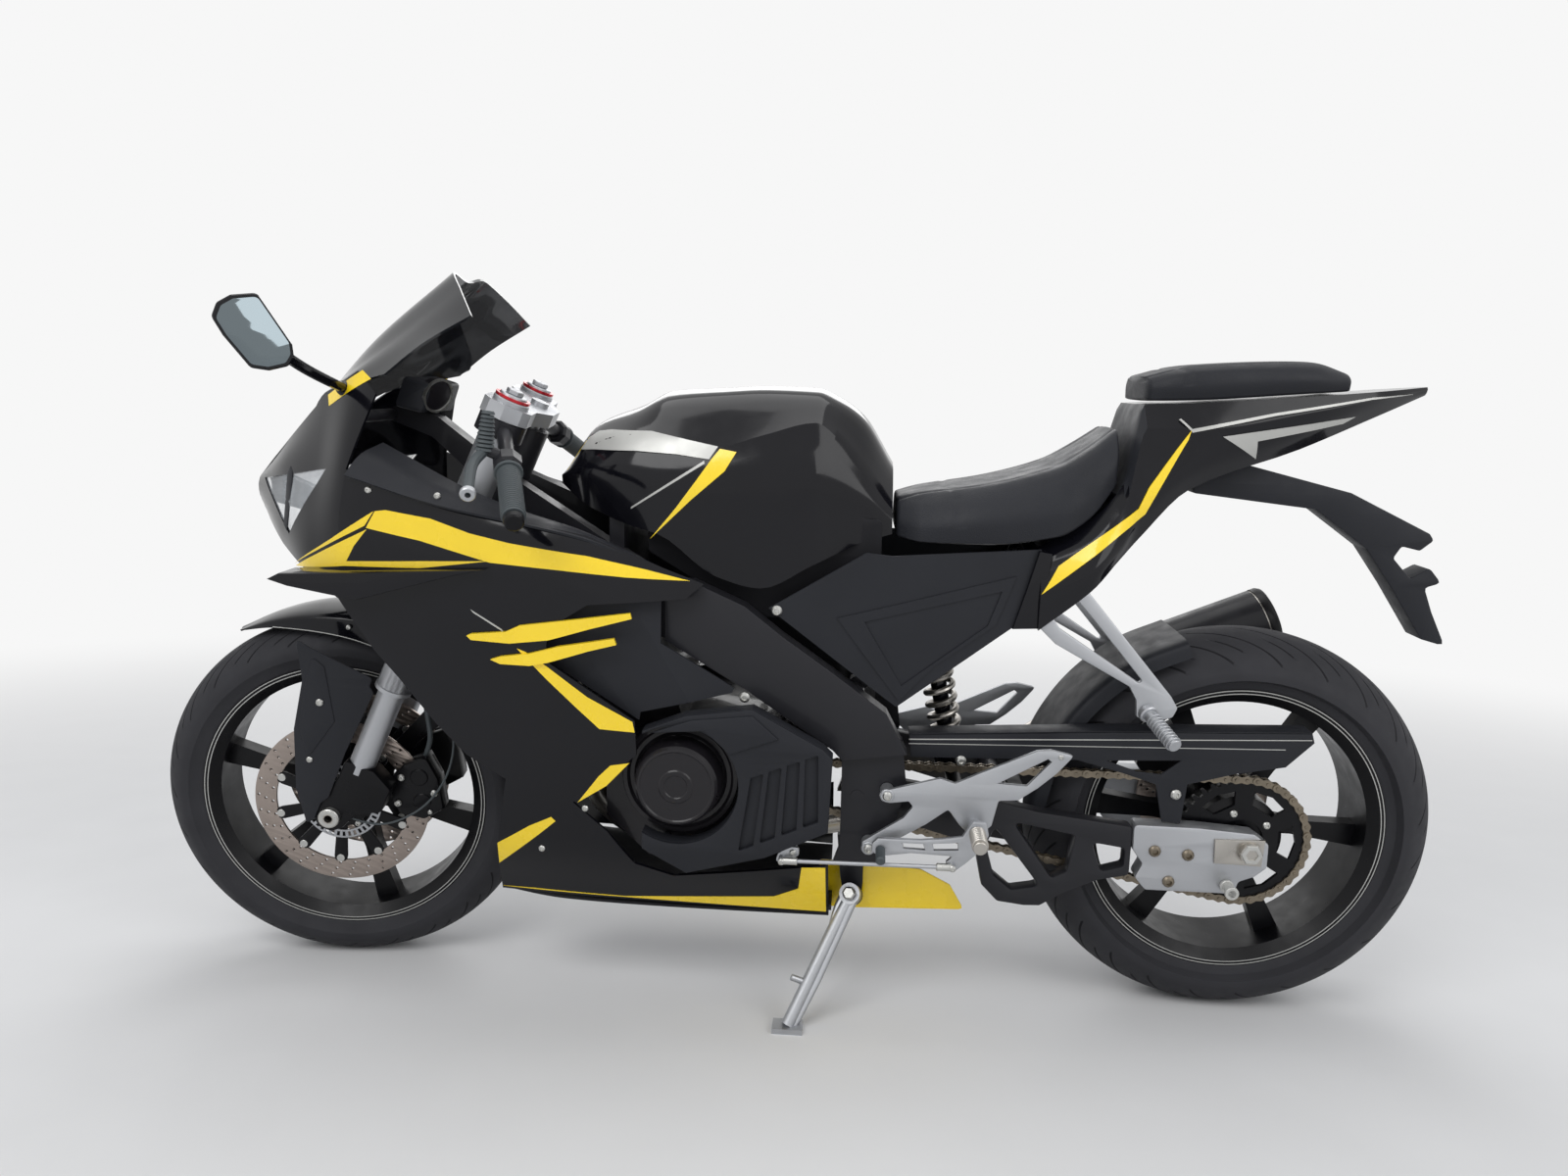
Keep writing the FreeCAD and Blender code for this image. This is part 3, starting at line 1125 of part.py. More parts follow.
def seats():
    rider = lofted("rider_seat", [
        (541, [(818, 40), (812, 60), (778, 84), (762, 86)]),
        (500, [(826, 62), (815, 84), (775, 116), (757, 116)]),
        (410, [(842, 80), (828, 110), (785, 130), (757, 128)]),
        (310, [(870, 84), (852, 108), (796, 128), (770, 126)]),
        (262, [(898, 76), (880, 98), (826, 112), (797, 110)]),
        (222, [(926, 66), (915, 84), (880, 96), (848, 96)])])
    pillion = lofted("pillion_seat", [
        (190, [(1002, 40), (998, 60), (984, 70), (966.4, 70)]),
        (120, [(1018, 60), (1012, 84), (990, 90), (968.4, 82)]),
        (-40, [(1026, 50), (1020, 72), (1000, 84), (980.4, 74)]),
        (-104, [(1010, 34), (1006, 50), (998, 58), (985, 58)])])
    return [rider, pillion]


def tail_cowl():
    return lofted("tail_cowl", [
        (332, [(756, 100), (740, 122), (704, 128), (698, 118)]),
        (262, [(796, 98), (770, 122), (720, 124), (700, 112)]),
        (216, [(850, 94), (820, 112), (770, 116), (746, 104)]),
        (190, [(966, 70), (930, 96), (830, 108), (778, 96)]),
        (120, [(968, 82), (930, 100), (880, 96), (842, 80)]),
        (-40, [(980, 74), (956, 84), (930, 74), (902, 52)]),
        (-150, [(988, 50), (978, 54), (968, 46), (950, 32)]),
        (-226, [(994, 14), (991, 16), (986, 14), (982, 10)])])


def side_panels():
    """Panels behind the frame's spars, with a flat pocket sunk in each."""
    outline = [(749, 150, 670), (581, 150, 748), (334, 130, 756), (345, 129, 704), (361, 132, 646), (545, 150, 514)]

    def slab(outer, inner):
        front = [(x, y + outer, z) for x, y, z in outline]
        back = [(x, y + inner, z) for x, y, z in outline]
        faces = []
        for side in (front, back):
            faces += [[side[0], side[i], side[i + 1]] for i in range(1, 5)]
        for i in range(6):
            j = (i + 1) % 6
            faces += triangles(front[i], front[j], back[j], back[i])
        return solid_from(faces)

    pocket = combine("Common", "panel_pocket", feature("pocket_slab", slab(3, -3)),
                     prism("pocket_prism", [(582, 647), (385, 695), (403, 644), (525, 552)]))
    return pair("side_panels", combine("Cut", "side_panel_left", feature("panel_slab", slab(0, -6)), pocket))


def plate_bracket():
    outline = [(96, 850), (96, 832), (-85, 812), (-165, 755), (-208, 697), (-261, 619), (-298, 609), (-272, 661),
               (-257, 698), (-280, 706), (-261, 728), (-234, 712), (-206, 742), (-216, 760), (-243, 754), (-261, 770),
               (-254, 780), (-134, 838), (-85, 850), (20, 878.5)]
    return plate("plate_bracket", [outline], "24", "48")


def rearsets():
    """Foot controls on both sides; the left lever moves the gearbox arm by a rod."""
    outline = [(552, 392), (548, 400), (534, 402), (464, 422), (442, 415), (408, 432), (327, 470), (307, 472),
               (274, 465), (297, 437), (323, 413), (350, 393), (378, 391), (386, 352), (400, 338), (420, 338),
               (434, 352), (450, 374), (482, 349), (551, 305), (565, 296), (576, 304), (574, 318), (515, 358),
               (502, 376), (508, 384), (536, 380), (548, 383)]
    heel_window = [(380, 418), (311, 458), (306, 454), (339, 416)]
    base = plate("rearset_plate", [outline, heel_window], "176", "{rearset_wall}")
    lever_outline = [(552, 334), (490, 334), (461, 337), (430, 342), (416, 366), (396, 366), (392, 346), (404, 320),
                     (424, 300), (436, 290), (450, 290), (452, 302), (442, 311), (503, 313), (548, 306), (560, 312),
                     (560, 326)]
    slots = [[(516, 328), (486, 328), (483, 319), (514, 320)], [(472, 329), (436, 332), (435, 321), (470, 319)]]
    lever = plate("shift_lever", [lever_outline] + slots, "198", "8")
    peg_end = 176 + size("peg_length")
    # name, start, end, radius
    rods = [("peg", (410, 170, 352), (410, peg_end, 348), "{peg_radius}"),
            ("rearset_boss", (540, 149.3, 392), (540, 170, 392), "9"),
            ("rearset_boss_low", (565, 149.3, 308), (565, 170, 308), "9"),
            ("shift_pad", (548, 190, 318), (548, 232, 314), "7")]
    left = joined("foot_controls", [base, lever] + [rod(*line) for line in rods])
    link = [("link_pin_rear", (443, 190, 297), (443, 208, 297), "5"),
            ("link_rod", (443, 204, 297), (692, 204, 295), "3.5"),
            ("link_pin_front", (692, 190, 295), (692, 208, 295), "5"),
            ("shift_shaft", (676, 78.3, 304), (676, 192, 304), "5")]
    arm = plate("shift_arm", [[(700, 288), (698, 300), (682, 311), (668, 311), (668, 301), (684, 288)]], "194", "6")
    return group("rearsets", [joined("rearset_left", [left, arm] + [rod(*line) for line in link]),
                              mirrored("rearset_right", left)])


def passenger_hangers():
    outline = [(334, 690), (328, 643), (198, 553), (178, 528), (158, 495), (136, 476), (117, 471), (120, 504),
               (130, 541), (175, 605), (258, 690)]
    window = [(314, 678), (309, 652), (204, 580), (194, 590), (270, 678)]
    base = plate("hanger", [outline, window], "138", "10")
    lug = block("hanger_lug", (288, 100, 682), (34, 32, 15.4))
    peg = rod("rear_peg", (146, 130, 514), (150, 206, 508), "11")
    return pair("passenger_hangers", joined("hanger_left", [base, lug, peg]))


# Side stand

def side_stand():
    half = size("stand_eye_half")
    foot_ground = Vector(size("stand_foot_x"), size("stand_foot_y"), 0)
    height = size("foot_pad_height")
    pad = block("foot_pad", (0, 0, 0), (size("foot_pad_length"), size("foot_pad_width"), height))
    corner = foot_ground - Vector(size("foot_pad_length") / 2, size("foot_pad_width") / 2, 0)
    pad.Placement = STANCE.inverse().multiply(Placement(corner, Rotation()))
    ankle = STANCE.inverse().multVec(foot_ground + Vector(0, 0, height - 1))
    leg = rod("stand_leg", STAND_PIVOT, ankle, "{stand_radius}")
    eye = rod("stand_eye", along_stand(-half), along_stand(half), "{stand_radius} + 6")
    whole = joined("stand_solid", [leg, pad, eye])
    bore = rod("stand_bore", along_stand(-3 * half), along_stand(3 * half), "{stand_bolt} + {bearing_fit}")
    return combine("Cut", "side_stand", whole, bore)


def main():
    """Builds every node, with the body that carries it."""
    nose, lenses, sides = fairing()
    core = hull_body(0)
    bodies = {
        "chassis": [
            frame(), engine(), engine_covers(), engine_shrouds(), radiator(), exhaust(), swingarm(), swingarm_ends(),
            rear_axle(), chain(), rear_guards(), rear_shock(), rear_caliper(), nose, lenses, sides, inserts(),
            winglets(core), gill_blades(core), belly_pan(), windscreen(), cockpit_panels(), mirrors(), fuel_tank(),
            *seats(), tail_cowl(), side_panels(), plate_bracket(), rearsets(), passenger_hangers()],
        "steering": [*fork(), clamps(), front_axle(), front_fender(), front_calipers(), *hand_controls(),
                     brake_hoses()],
        "front_wheel": front_wheel(),
        "rear_wheel": rear_wheel(),
        "side_stand": [side_stand()],
    }
    doc.recompute()
    return bodies


def check():
    """Stops on a feature that failed or a sub-part without a sound solid."""
    failed = [obj.Label for obj in doc.Objects if "Invalid" in obj.State or "Error" in obj.State]
    for nodes in BODIES.values():
        failed += [obj.Label for obj in nodes
                   if obj.Shape.isNull() or not obj.Shape.isValid() or not obj.Shape.Solids]
    if failed:
        raise RuntimeError("failed or unsound: " + ", ".join(failed))


def place():
    """Steers the front, leans the bike and puts the origin under the middle of its bounding box."""
    poses = {
        "chassis": STANCE, "rear_wheel": STANCE, "side_stand": STANCE,
        "steering": STANCE.multiply(STEER_POSE).multiply(FORK_POSE),
        "front_wheel": STANCE.multiply(STEER_POSE),
    }
    for name, nodes in BODIES.items():
        for obj in nodes:
            obj.Placement = poses[name].multiply(obj.Placement)
    box = FreeCAD.BoundBox()
    for nodes in BODIES.values():
        for obj in nodes:
            box.add(obj.Shape.optimalBoundingBox(False, False))
    shift = Placement(Vector(-(box.XMin + box.XMax) / 2, -(box.YMin + box.YMax) / 2, 0), Rotation())
    for nodes in BODIES.values():
        for obj in nodes:
            obj.Placement = shift.multiply(obj.Placement)
    return shift.multiply(STANCE), box


BODIES = main()
check()
ROW_POSE, BOX = place()
os.makedirs("parts", exist_ok=True)
for members in BODIES.values():
    for item in members:
        item.Shape.exportStep("parts/%s.step" % item.Label)
print("nodes", sum(len(members) for members in BODIES.values()), "box", BOX)
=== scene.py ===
"""Looks of the sport bike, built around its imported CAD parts.

Pieces are drawn in millimetres, either in the upright bike's frame (X forward, Y to the rider's left,
Z up, the rear axle above the origin) or in a frame of the steering or of a wheel, and then put where the
packed joints say those frames are.
"""
import json
import math

import bmesh
import bpy
from mathutils import Matrix, Vector


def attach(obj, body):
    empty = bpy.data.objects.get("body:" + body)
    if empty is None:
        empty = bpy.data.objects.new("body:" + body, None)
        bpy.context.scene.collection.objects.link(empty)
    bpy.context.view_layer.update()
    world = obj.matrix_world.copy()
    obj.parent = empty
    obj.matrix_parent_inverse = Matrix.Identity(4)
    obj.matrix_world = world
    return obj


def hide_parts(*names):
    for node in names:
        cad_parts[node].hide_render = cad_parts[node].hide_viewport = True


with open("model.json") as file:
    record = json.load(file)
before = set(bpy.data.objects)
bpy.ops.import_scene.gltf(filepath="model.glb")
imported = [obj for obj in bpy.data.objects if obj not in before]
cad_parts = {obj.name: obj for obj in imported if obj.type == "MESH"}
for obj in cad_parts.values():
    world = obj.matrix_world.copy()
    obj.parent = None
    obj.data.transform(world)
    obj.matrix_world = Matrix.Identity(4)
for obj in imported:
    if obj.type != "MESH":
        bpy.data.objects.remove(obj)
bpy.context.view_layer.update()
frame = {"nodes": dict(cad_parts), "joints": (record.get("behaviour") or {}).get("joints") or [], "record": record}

# Driving sizes in millimetres and degrees

MM = 0.001
RAKE = math.radians(24.5)
REAR_TYRE = {"radius": 312, "width": 160, "crown": 86, "rim_half": 57}
FRONT_TYRE = {"radius": 299, "width": 120, "crown": 65, "rim_half": 45}
STEER_GROUND_X = 1528
BEAD_RADIUS = 216
AXLE_HEIGHT = REAR_TYRE["radius"]
FORK_OFFSET = 25
FORK_SPREAD = 100
FORK_AXLE = (37.5, 311.5)
SKIN = 4
PAINT_LIFT = 0.5


# Frames

def unit(values):
    return Vector(values).normalized()


JOINTS = {joint["name"]: joint for joint in frame["joints"]}
steering_axis = unit(JOINTS["steering"]["axis"])


def pose_of(x_axis, y_axis, z_axis, origin):
    """Matrix from millimetres in a frame to metres in the scene."""
    turn = Matrix((x_axis, y_axis, z_axis)).transposed().to_4x4()
    return Matrix.Translation(origin) @ turn @ Matrix.Scale(MM, 4)


def bike_pose():
    """Frame of the upright bike, found from its rear axle and its steering axis."""
    side = unit(JOINTS["rear_wheel_spin"]["axis"])
    ahead_of_axis = side.cross(steering_axis)
    ahead = ahead_of_axis * math.cos(RAKE) - steering_axis * math.sin(RAKE)
    up = ahead_of_axis * math.sin(RAKE) + steering_axis * math.cos(RAKE)
    axle = Vector(JOINTS["rear_wheel_spin"]["pos_m"])
    return pose_of(ahead, side, up, axle - up * AXLE_HEIGHT * MM)


BIKE = bike_pose()
REAR = BIKE @ Matrix.Translation((0, 0, AXLE_HEIGHT))


def fork_pose(origin):
    """Frame with Z along the steering axis and Y along the front axle."""
    side = unit(JOINTS["front_wheel_spin"]["axis"])
    return pose_of(side.cross(steering_axis), side, steering_axis, origin)


FORK = fork_pose(BIKE @ Vector((STEER_GROUND_X, 0, 0)))
FRONT = fork_pose(Vector(JOINTS["front_wheel_spin"]["pos_m"]))


# Camera at the photograph's place: 24 mm lens, close to the ground and to the bike's left side

CAMERA_AT = Vector((-0.1115, 1.6206, 0.8045))
CAMERA_YAW = 0.06765
CAMERA_PITCH = 0.0881
CAMERA_ROLL = 0.02653
FOCAL_PIXELS = 1070.2
PHOTO_WIDTH = 1600
SENSOR_WIDTH = 36


def make_camera():
    """The photograph's view."""
    level = math.cos(CAMERA_PITCH)
    ahead = Vector((math.sin(CAMERA_YAW) * level, -math.cos(CAMERA_YAW) * level, -math.sin(CAMERA_PITCH)))
    right = ahead.cross(Vector((0, 0, 1))).normalized()
    up = right.cross(ahead)
    cos, sin = math.cos(CAMERA_ROLL), math.sin(CAMERA_ROLL)
    right, up = right * cos + up * sin, up * cos - right * sin
    data = bpy.data.cameras.new("camera")
    data.sensor_width = SENSOR_WIDTH
    data.sensor_fit = "HORIZONTAL"
    data.lens = SENSOR_WIDTH * FOCAL_PIXELS / PHOTO_WIDTH
    data.clip_start = 0.02
    camera = bpy.data.objects.new("camera", data)
    camera.matrix_world = Matrix.Translation(CAMERA_AT) @ Matrix((right, up, -ahead)).transposed().to_4x4()
    bpy.context.scene.collection.objects.link(camera)
    bpy.context.scene.camera = camera


# Materials

DARK_BELOW = 0.05
DARK_SPECULAR = 0.2


def nodes_of(name):
    material = bpy.data.materials.new(name)
    material.use_nodes = True
    tree = material.node_tree
    return material, tree, tree.nodes["Principled BSDF"]


def wire(tree, node, values, links):
    """Sets inputs of a node and links others to outputs of other nodes."""
    for key, value in values.items():
        node.inputs[key].default_value = value
    for key, output in links.items():
        tree.links.new(output, node.inputs[key])


def add_node(tree, kind, values, links, **settings):
    """A new node with its settings, input values and links."""
    node = tree.nodes.new("ShaderNode" + kind)
    for key, value in settings.items():
        setattr(node, key, value)
    wire(tree, node, values, links)
    return node


def noise_at(tree, scale, stretch=(1, 1, 1)):
    """Noise over the piece's own coordinates, in cycles per metre."""
    node = add_node(tree, "TexNoise", {"Scale": scale, "Detail": 4}, {"Vector": own_place(tree, stretch)})
    return node.outputs["Fac"]


def cells_at(tree, scale, stretch):
    """Distance from the middles of scattered cells, for a leather's grain."""
    node = add_node(tree, "TexVoronoi", {"Scale": scale}, {"Vector": own_place(tree, stretch)})
    return node.outputs["Distance"]


def own_place(tree, stretch):
    """The piece's own coordinates, stretched."""
    place_at = add_node(tree, "TexCoord", {}, {}).outputs["Object"]
    return add_node(tree, "Mapping", {"Scale": stretch}, {"Vector": place_at}).outputs["Vector"]


def ranged(tree, value, low, high):
    """A noise's middle range spread from low to high."""
    values = {"From Min": 0.3, "From Max": 0.7, "To Min": low, "To Max": high}
    return add_node(tree, "MapRange", values, {"Value": value}).outputs["Result"]


def tinted(tree, value, dark, light):
    """A colour between dark and light."""
    values = {"A": (*dark, 1), "B": (*light, 1)}
    return add_node(tree, "Mix", values, {"Factor": value}, data_type="RGBA").outputs["Result"]


def finish(name, color, rough, metallic=0.0, coat=0.0, vary=0.15, patch=9, grain=900, bump=0.02,
           stretch=(1, 1, 1), rough_spread=0.08, relief_of=noise_at):
    """A painted, moulded or metal surface: mottled colour, uneven gloss and a fine grain."""
    material, tree, shader = nodes_of(name)
    dark = [c * (1 - vary) for c in color]
    light = [min(1.0, c * (1 + vary)) for c in color]
    smear = noise_at(tree, patch * 4)
    height = relief_of(tree, grain, stretch)
    relief = add_node(tree, "Bump", {"Strength": 1.0, "Distance": bump * MM}, {"Height": height})
    values = {"Metallic": metallic, "Coat Weight": coat, "Coat Roughness": 0.06,
              "Specular IOR Level": DARK_SPECULAR if max(color) < DARK_BELOW else 0.5}
    wire(tree, shader, values, {
        "Base Color": tinted(tree, noise_at(tree, patch), dark, light),
        "Roughness": ranged(tree, smear, max(0.02, rough - rough_spread), rough + rough_spread),
        "Normal": relief.outputs["Normal"]})
    return material


def glass(name, color, rough, alpha):
    """Clear or tinted plastic with a little dust on it."""
    material, tree, shader = nodes_of(name)
    wire(tree, shader, {"Alpha": alpha, "Coat Weight": 0.6, "Coat Roughness": 0.04}, {
        "Roughness": ranged(tree, noise_at(tree, 60), rough, rough + 0.08),
        "Base Color": tinted(tree, noise_at(tree, 5), [c * 0.85 for c in color], color)})
    return material


FINISHES = {
    "frame_black": finish("satin_black", (0.016, 0.016, 0.019), 0.4, coat=0.1, grain=1400, bump=0.03),
    "engine_grey": finish("cover_black", (0.010, 0.009, 0.011), 0.34, coat=0.25, grain=700, bump=0.03),
    "silver": finish("cast_silver", (0.42, 0.43, 0.45), 0.45, metallic=0.85, vary=0.1, grain=520, bump=0.05),
    "steel": finish("brushed_steel", (0.42, 0.4, 0.37), 0.33, metallic=1, vary=0.2, grain=300, bump=0.03,
                    stretch=(1, 1, 14)),
    "black_gloss": finish("gloss_black", (0.004, 0.004, 0.006), 0.13, coat=0.18, vary=0.2, grain=420,
                          bump=0.008, rough_spread=0.05),
    "black_matte": finish("moulded_dark", (0.017, 0.018, 0.022), 0.5, vary=0.2, grain=1600, bump=0.06),
    "yellow": finish("yellow_film", (0.93, 0.66, 0.01), 0.28, coat=0.5, vary=0.06, grain=500, bump=0.01),
    "tyre": finish("tread_rubber", (0.030, 0.030, 0.034), 0.7, vary=0.3, patch=14, grain=900, bump=0.15),
    "rim_black": finish("rim_gloss", (0.003, 0.003, 0.004), 0.34, coat=0.0, grain=500, bump=0.012),
    "seat": finish("seat_leather", (0.016, 0.017, 0.021), 0.5, vary=0.25, grain=620, bump=0.22,
                   relief_of=cells_at),
    "screen": glass("tinted_screen", (0.012, 0.013, 0.016), 0.05, 0.86),
    "lens": glass("clear_lens", (0.7, 0.74, 0.78), 0.04, 0.32),
    "rubber": finish("grip_rubber", (0.045, 0.055, 0.06), 0.6, vary=0.2, grain=1100, bump=0.1),
    "chain_steel": finish("oiled_steel", (0.2, 0.17, 0.13), 0.4, metallic=0.9, vary=0.35, patch=60,
                          grain=500),
}
EXTRA = {
    "red_cap": finish("red_anodised", (0.5, 0.02, 0.03), 0.3, metallic=0.6, grain=700, bump=0.02),
    "pale": finish("pale_film", (0.46, 0.46, 0.44), 0.38, metallic=0.3, coat=0.05, vary=0.05, grain=500,
                   bump=0.01),
    "disc": finish("disc_face", (0.33, 0.28, 0.25), 0.36, metallic=0.9, vary=0.15, grain=220, bump=0.04),
    "mirror": finish("mirror_glass", (0.16, 0.19, 0.205), 0.06, metallic=1, vary=0.03, patch=3, grain=40,
                     bump=0.004, rough_spread=0.01),
    "bolt": finish("bolt_zinc", (0.52, 0.52, 0.5), 0.34, metallic=1, vary=0.15, patch=90, grain=900,
                   bump=0.02),
    # matte black for the belly's floor, and painted shade in the tyres' grooves, in the gap under the tank and in
    # the silencer's mouth
    "inside": finish("inner_black_and_painted_shade", (0.01, 0.01, 0.012), 0.7, grain=1200, bump=0.05),
}


def dress_nodes():
    """Gives every CAD piece the finish of its slot."""
    for part in frame["record"]["subparts"]:
        node = frame["nodes"][part["node"]]
        key = part["material_slot"]
        if not node.material_slots:
            node.data.materials.append(FINISHES[key])
        for item in node.material_slots:
            item.material = FINISHES[key]
    frame["nodes"]["rear_sprocket"].material_slots[0].material = FINISHES["rim_black"]


# Makers of pieces

def place(name, mesh, pose, body, look, hides=(), angle=30):
    """Puts a mesh drawn in millimetres in its place, on its body and in its finish."""
    mesh.transform(pose)
    mesh.shade_smooth()
    mesh.set_sharp_from_angle(angle=math.radians(angle))
    mesh.materials.clear()
    mesh.materials.append(FINISHES.get(look) or EXTRA[look])
    piece = bpy.data.objects.new(name, mesh)
    bpy.context.scene.collection.objects.link(piece)
    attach(piece, body)
    if hides:
        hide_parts(*hides)
    return piece


def on_bike(name, mesh, look, hides=(), angle=30):
    return place(name, mesh, BIKE, "chassis", look, hides, angle)


def on_fork(name, mesh, look, hides=(), angle=30):
    return place(name, mesh, FORK, "steering", look, hides, angle)


def on_front_wheel(name, mesh, look, hides=()):
    return place(name, mesh, FRONT, "front_wheel", look, hides)


def on_rear_wheel(name, mesh, look, hides=()):
    return place(name, mesh, REAR, "rear_wheel", look, hides)


def second_look(piece, material, faces):
    """Gives some faces of a piece another material."""
    piece.data.materials.append(material)
    for index in faces:
        piece.data.polygons[index].material_index = 1


def mesh_from(bm, name="mesh"):
    mesh = bpy.data.meshes.new(name)
    bmesh.ops.recalc_face_normals(bm, faces=bm.faces)
    bm.to_mesh(mesh)
    bm.free()
    return mesh


def evaluated(source, *modifiers):
    """Mesh of an object's data after modifiers, each as (kind, settings)."""
    holder = bpy.data.objects.new("holder", source)
    bpy.context.scene.collection.objects.link(holder)
    for kind, settings in modifiers:
        modifier = holder.modifiers.new(kind.lower(), kind)
        for key, value in settings.items():
            setattr(modifier, key, value)
    graph = bpy.context.evaluated_depsgraph_get()
    mesh = bpy.data.meshes.new_from_object(holder.evaluated_get(graph))
    bpy.data.objects.remove(holder)
    return mesh


def united(meshes):
    """One mesh of several."""
    bm = bmesh.new()
    for mesh in meshes:
        bm.from_mesh(mesh)
    whole = bpy.data.meshes.new("united")
    bm.to_mesh(whole)
    bm.free()
    return whole


def mirrored(mesh):
    """The mesh's mirror image across the bike's middle."""
    other = mesh.copy()
    other.transform(Matrix.Scale(-1, 4, (0, 1, 0)))
    other.flip_normals()
    return other


def both_sides(mesh):
    return united([mesh, mirrored(mesh)])


def polar(radius, turns):
    """Point at a radius, so many turns round the origin."""
    return radius * math.cos(2 * math.pi * turns), radius * math.sin(2 * math.pi * turns)


def circle(x, z, radius, count=32):
    return [(x + a, z + b) for a, b in (polar(radius, i / count) for i in range(count))]


def rounded(points, radius, steps=4):
    """A closed outline with its corners turned into arcs."""
    result = []
    count = len(points)
    for i, point in enumerate(points):
        here = Vector(point)
        back = Vector(points[i - 1]) - here
        ahead = Vector(points[(i + 1) % count]) - here
        angle = back.angle(ahead)
        trim = min(radius / math.tan(angle / 2), 0.45 * back.length, 0.45 * ahead.length)
        start = here + back.normalized() * trim
        end = here + ahead.normalized() * trim
        for k in range(steps + 1):
            t = k / steps
            result.append(tuple(start * (1 - t) ** 2 + here * 2 * t * (1 - t) + end * t ** 2))
    return result


def flat_mesh(loops, thickness=0.0, bevel=0.0):
    """Filled outline with holes in the XY plane, with an edge bevel."""
    curve = bpy.data.curves.new("outline", "CURVE")
    curve.dimensions = "2D"
    curve.fill_mode = "BOTH"
    curve.extrude = max(thickness / 2 - bevel, 0)
    curve.bevel_depth = bevel
    curve.bevel_resolution = 1
    curve.offset = -bevel
    for i, loop in enumerate(loops):
        area = sum(a[0] * b[1] - b[0] * a[1] for a, b in zip(loop, loop[1:] + loop[:1]))
        if (area > 0) != (i == 0):
            loop = loop[::-1]
        spline = curve.splines.new("POLY")
        spline.points.add(len(loop) - 1)
        for point, (x, y) in zip(spline.points, loop):
            point.co = (x, y, 0, 1)
        spline.use_cyclic_u = True
    mesh = evaluated(curve)
    bm = bmesh.new()
    bm.from_mesh(mesh)
    bmesh.ops.remove_doubles(bm, verts=bm.verts, dist=0.02)
    return mesh_from(bm)


# turns a drawing's (x, y, height) into the side view's (x, -height, z)
SIDE = Matrix(((1, 0, 0, 0), (0, 0, -1, 0), (0, 1, 0, 0), (0, 0, 0, 1)))


def plate(loops, outer, thickness, bevel=1.0):
    """Side-view outline (x, z) with holes, from Y = outer inwards."""
    mesh = flat_mesh(loops, thickness, bevel)
    mesh.transform(Matrix.Translation((0, outer - thickness / 2, 0)) @ SIDE)
    return mesh


def lathe(profile, segments=96, closed=True):
    """A profile of (offset along Y, radius) turned about Y."""
    bm = bmesh.new()
    rings = []
    for i in range(segments):
        a = 2 * math.pi * i / segments
        rings.append([bm.verts.new((r * math.cos(a), y, r * math.sin(a))) for y, r in profile])
    steps = len(profile) if closed else len(profile) - 1
    for i in range(segments):
        a, b = rings[i], rings[(i + 1) % segments]
        for j in range(steps):
            k = (j + 1) % len(profile)
            bm.faces.new((a[j], a[k], b[k], b[j]))
    bmesh.ops.remove_doubles(bm, verts=bm.verts, dist=0.01)
    return mesh_from(bm)


def turned(direction, at):
    """Matrix that takes the Y axis to a direction and the origin to a place."""
    turn = Vector((0, 1, 0)).rotation_difference(Vector(direction)).to_matrix().to_4x4()
    return Matrix.Translation(at) @ turn


def lathe_up(at, profile, closed=False):
    """A profile of (height, radius) turned about an upright line in the fork's frame."""
    mesh = lathe(profile, 64, closed)
    mesh.transform(turned((0, 0, 1), (*at, 0)))
    return mesh


def cylinder(start, end, radius, end_radius=None, segments=24, edge=0.8):
    """A rod with softened ends."""
    start, end = Vector(start), Vector(end)
    far = radius if end_radius is None else end_radius
    length = (end - start).length
    soft = min(edge, 0.4 * radius, 0.4 * far, 0.3 * length)
    profile = [(0, 0), (0, radius - soft), (soft, radius), (length - soft, far), (length, far - soft),
               (length, 0)]
    mesh = lathe(profile, segments, closed=False)
    mesh.transform(turned(end - start, start))
    return mesh


def across(x, z, inner, outer, radius, end_radius=None, segments=24, edge=0.8):
    """A rod from side to side of the bike, between two places on Y."""
    return cylinder((x, inner, z), (x, outer, z), radius, end_radius, segments, edge)


def ribs(start, run, places, width, radius, segments, edge):
    """Rings in a row along a rod, at shares of its run."""
    return [cylinder(start + run * k, start + run * (k + width), radius, radius, segments, edge)
            for k in places]


def pipe(points, radius, segments=6):
    """A smooth tube along a few points."""
    curve = bpy.data.curves.new("pipe", "CURVE")
    curve.dimensions = "3D"
    curve.bevel_depth = radius
    curve.bevel_resolution = 3
    curve.use_fill_caps = True
    spline = curve.splines.new("NURBS")
    spline.points.add(len(points) - 1)
    for point, place_at in zip(spline.points, points):
        point.co = (*place_at, 1)
    spline.order_u = 3
    spline.use_endpoint_u = True
    spline.resolution_u = segments
    return evaluated(curve)


def smooth_through(xs, ys):
    """A curve through the points that never overshoots them."""
    steps = [(ys[i + 1] - ys[i]) / (xs[i + 1] - xs[i]) for i in range(len(xs) - 1)]
    slopes = [steps[0]]
    for before, after in zip(steps, steps[1:]):
        slopes.append(0.0 if before * after <= 0 else 2 * before * after / (before + after))
    slopes.append(steps[-1])

    def value(x):
        x = min(max(x, xs[0]), xs[-1])
        i = 0
        while i < len(xs) - 2 and x > xs[i + 1]:
            i += 1
        span = xs[i + 1] - xs[i]
        t = (x - xs[i]) / span
        return ((1 + 2 * t) * (1 - t) ** 2 * ys[i] + t * (1 - t) ** 2 * span * slopes[i]
                + t * t * (3 - 2 * t) * ys[i + 1] + t * t * (t - 1) * span * slopes[i + 1])

    return value


def levels_of(table):
    """Height and half width over x, as a pair of curves for each level of a table of stations."""
    rows = sorted(table)
    xs = [row[0] for row in rows]
    return [(smooth_through(xs, [row[k][0] for row in rows]), smooth_through(xs, [row[k][1] for row in rows]))
            for k in range(1, len(rows[0]))]


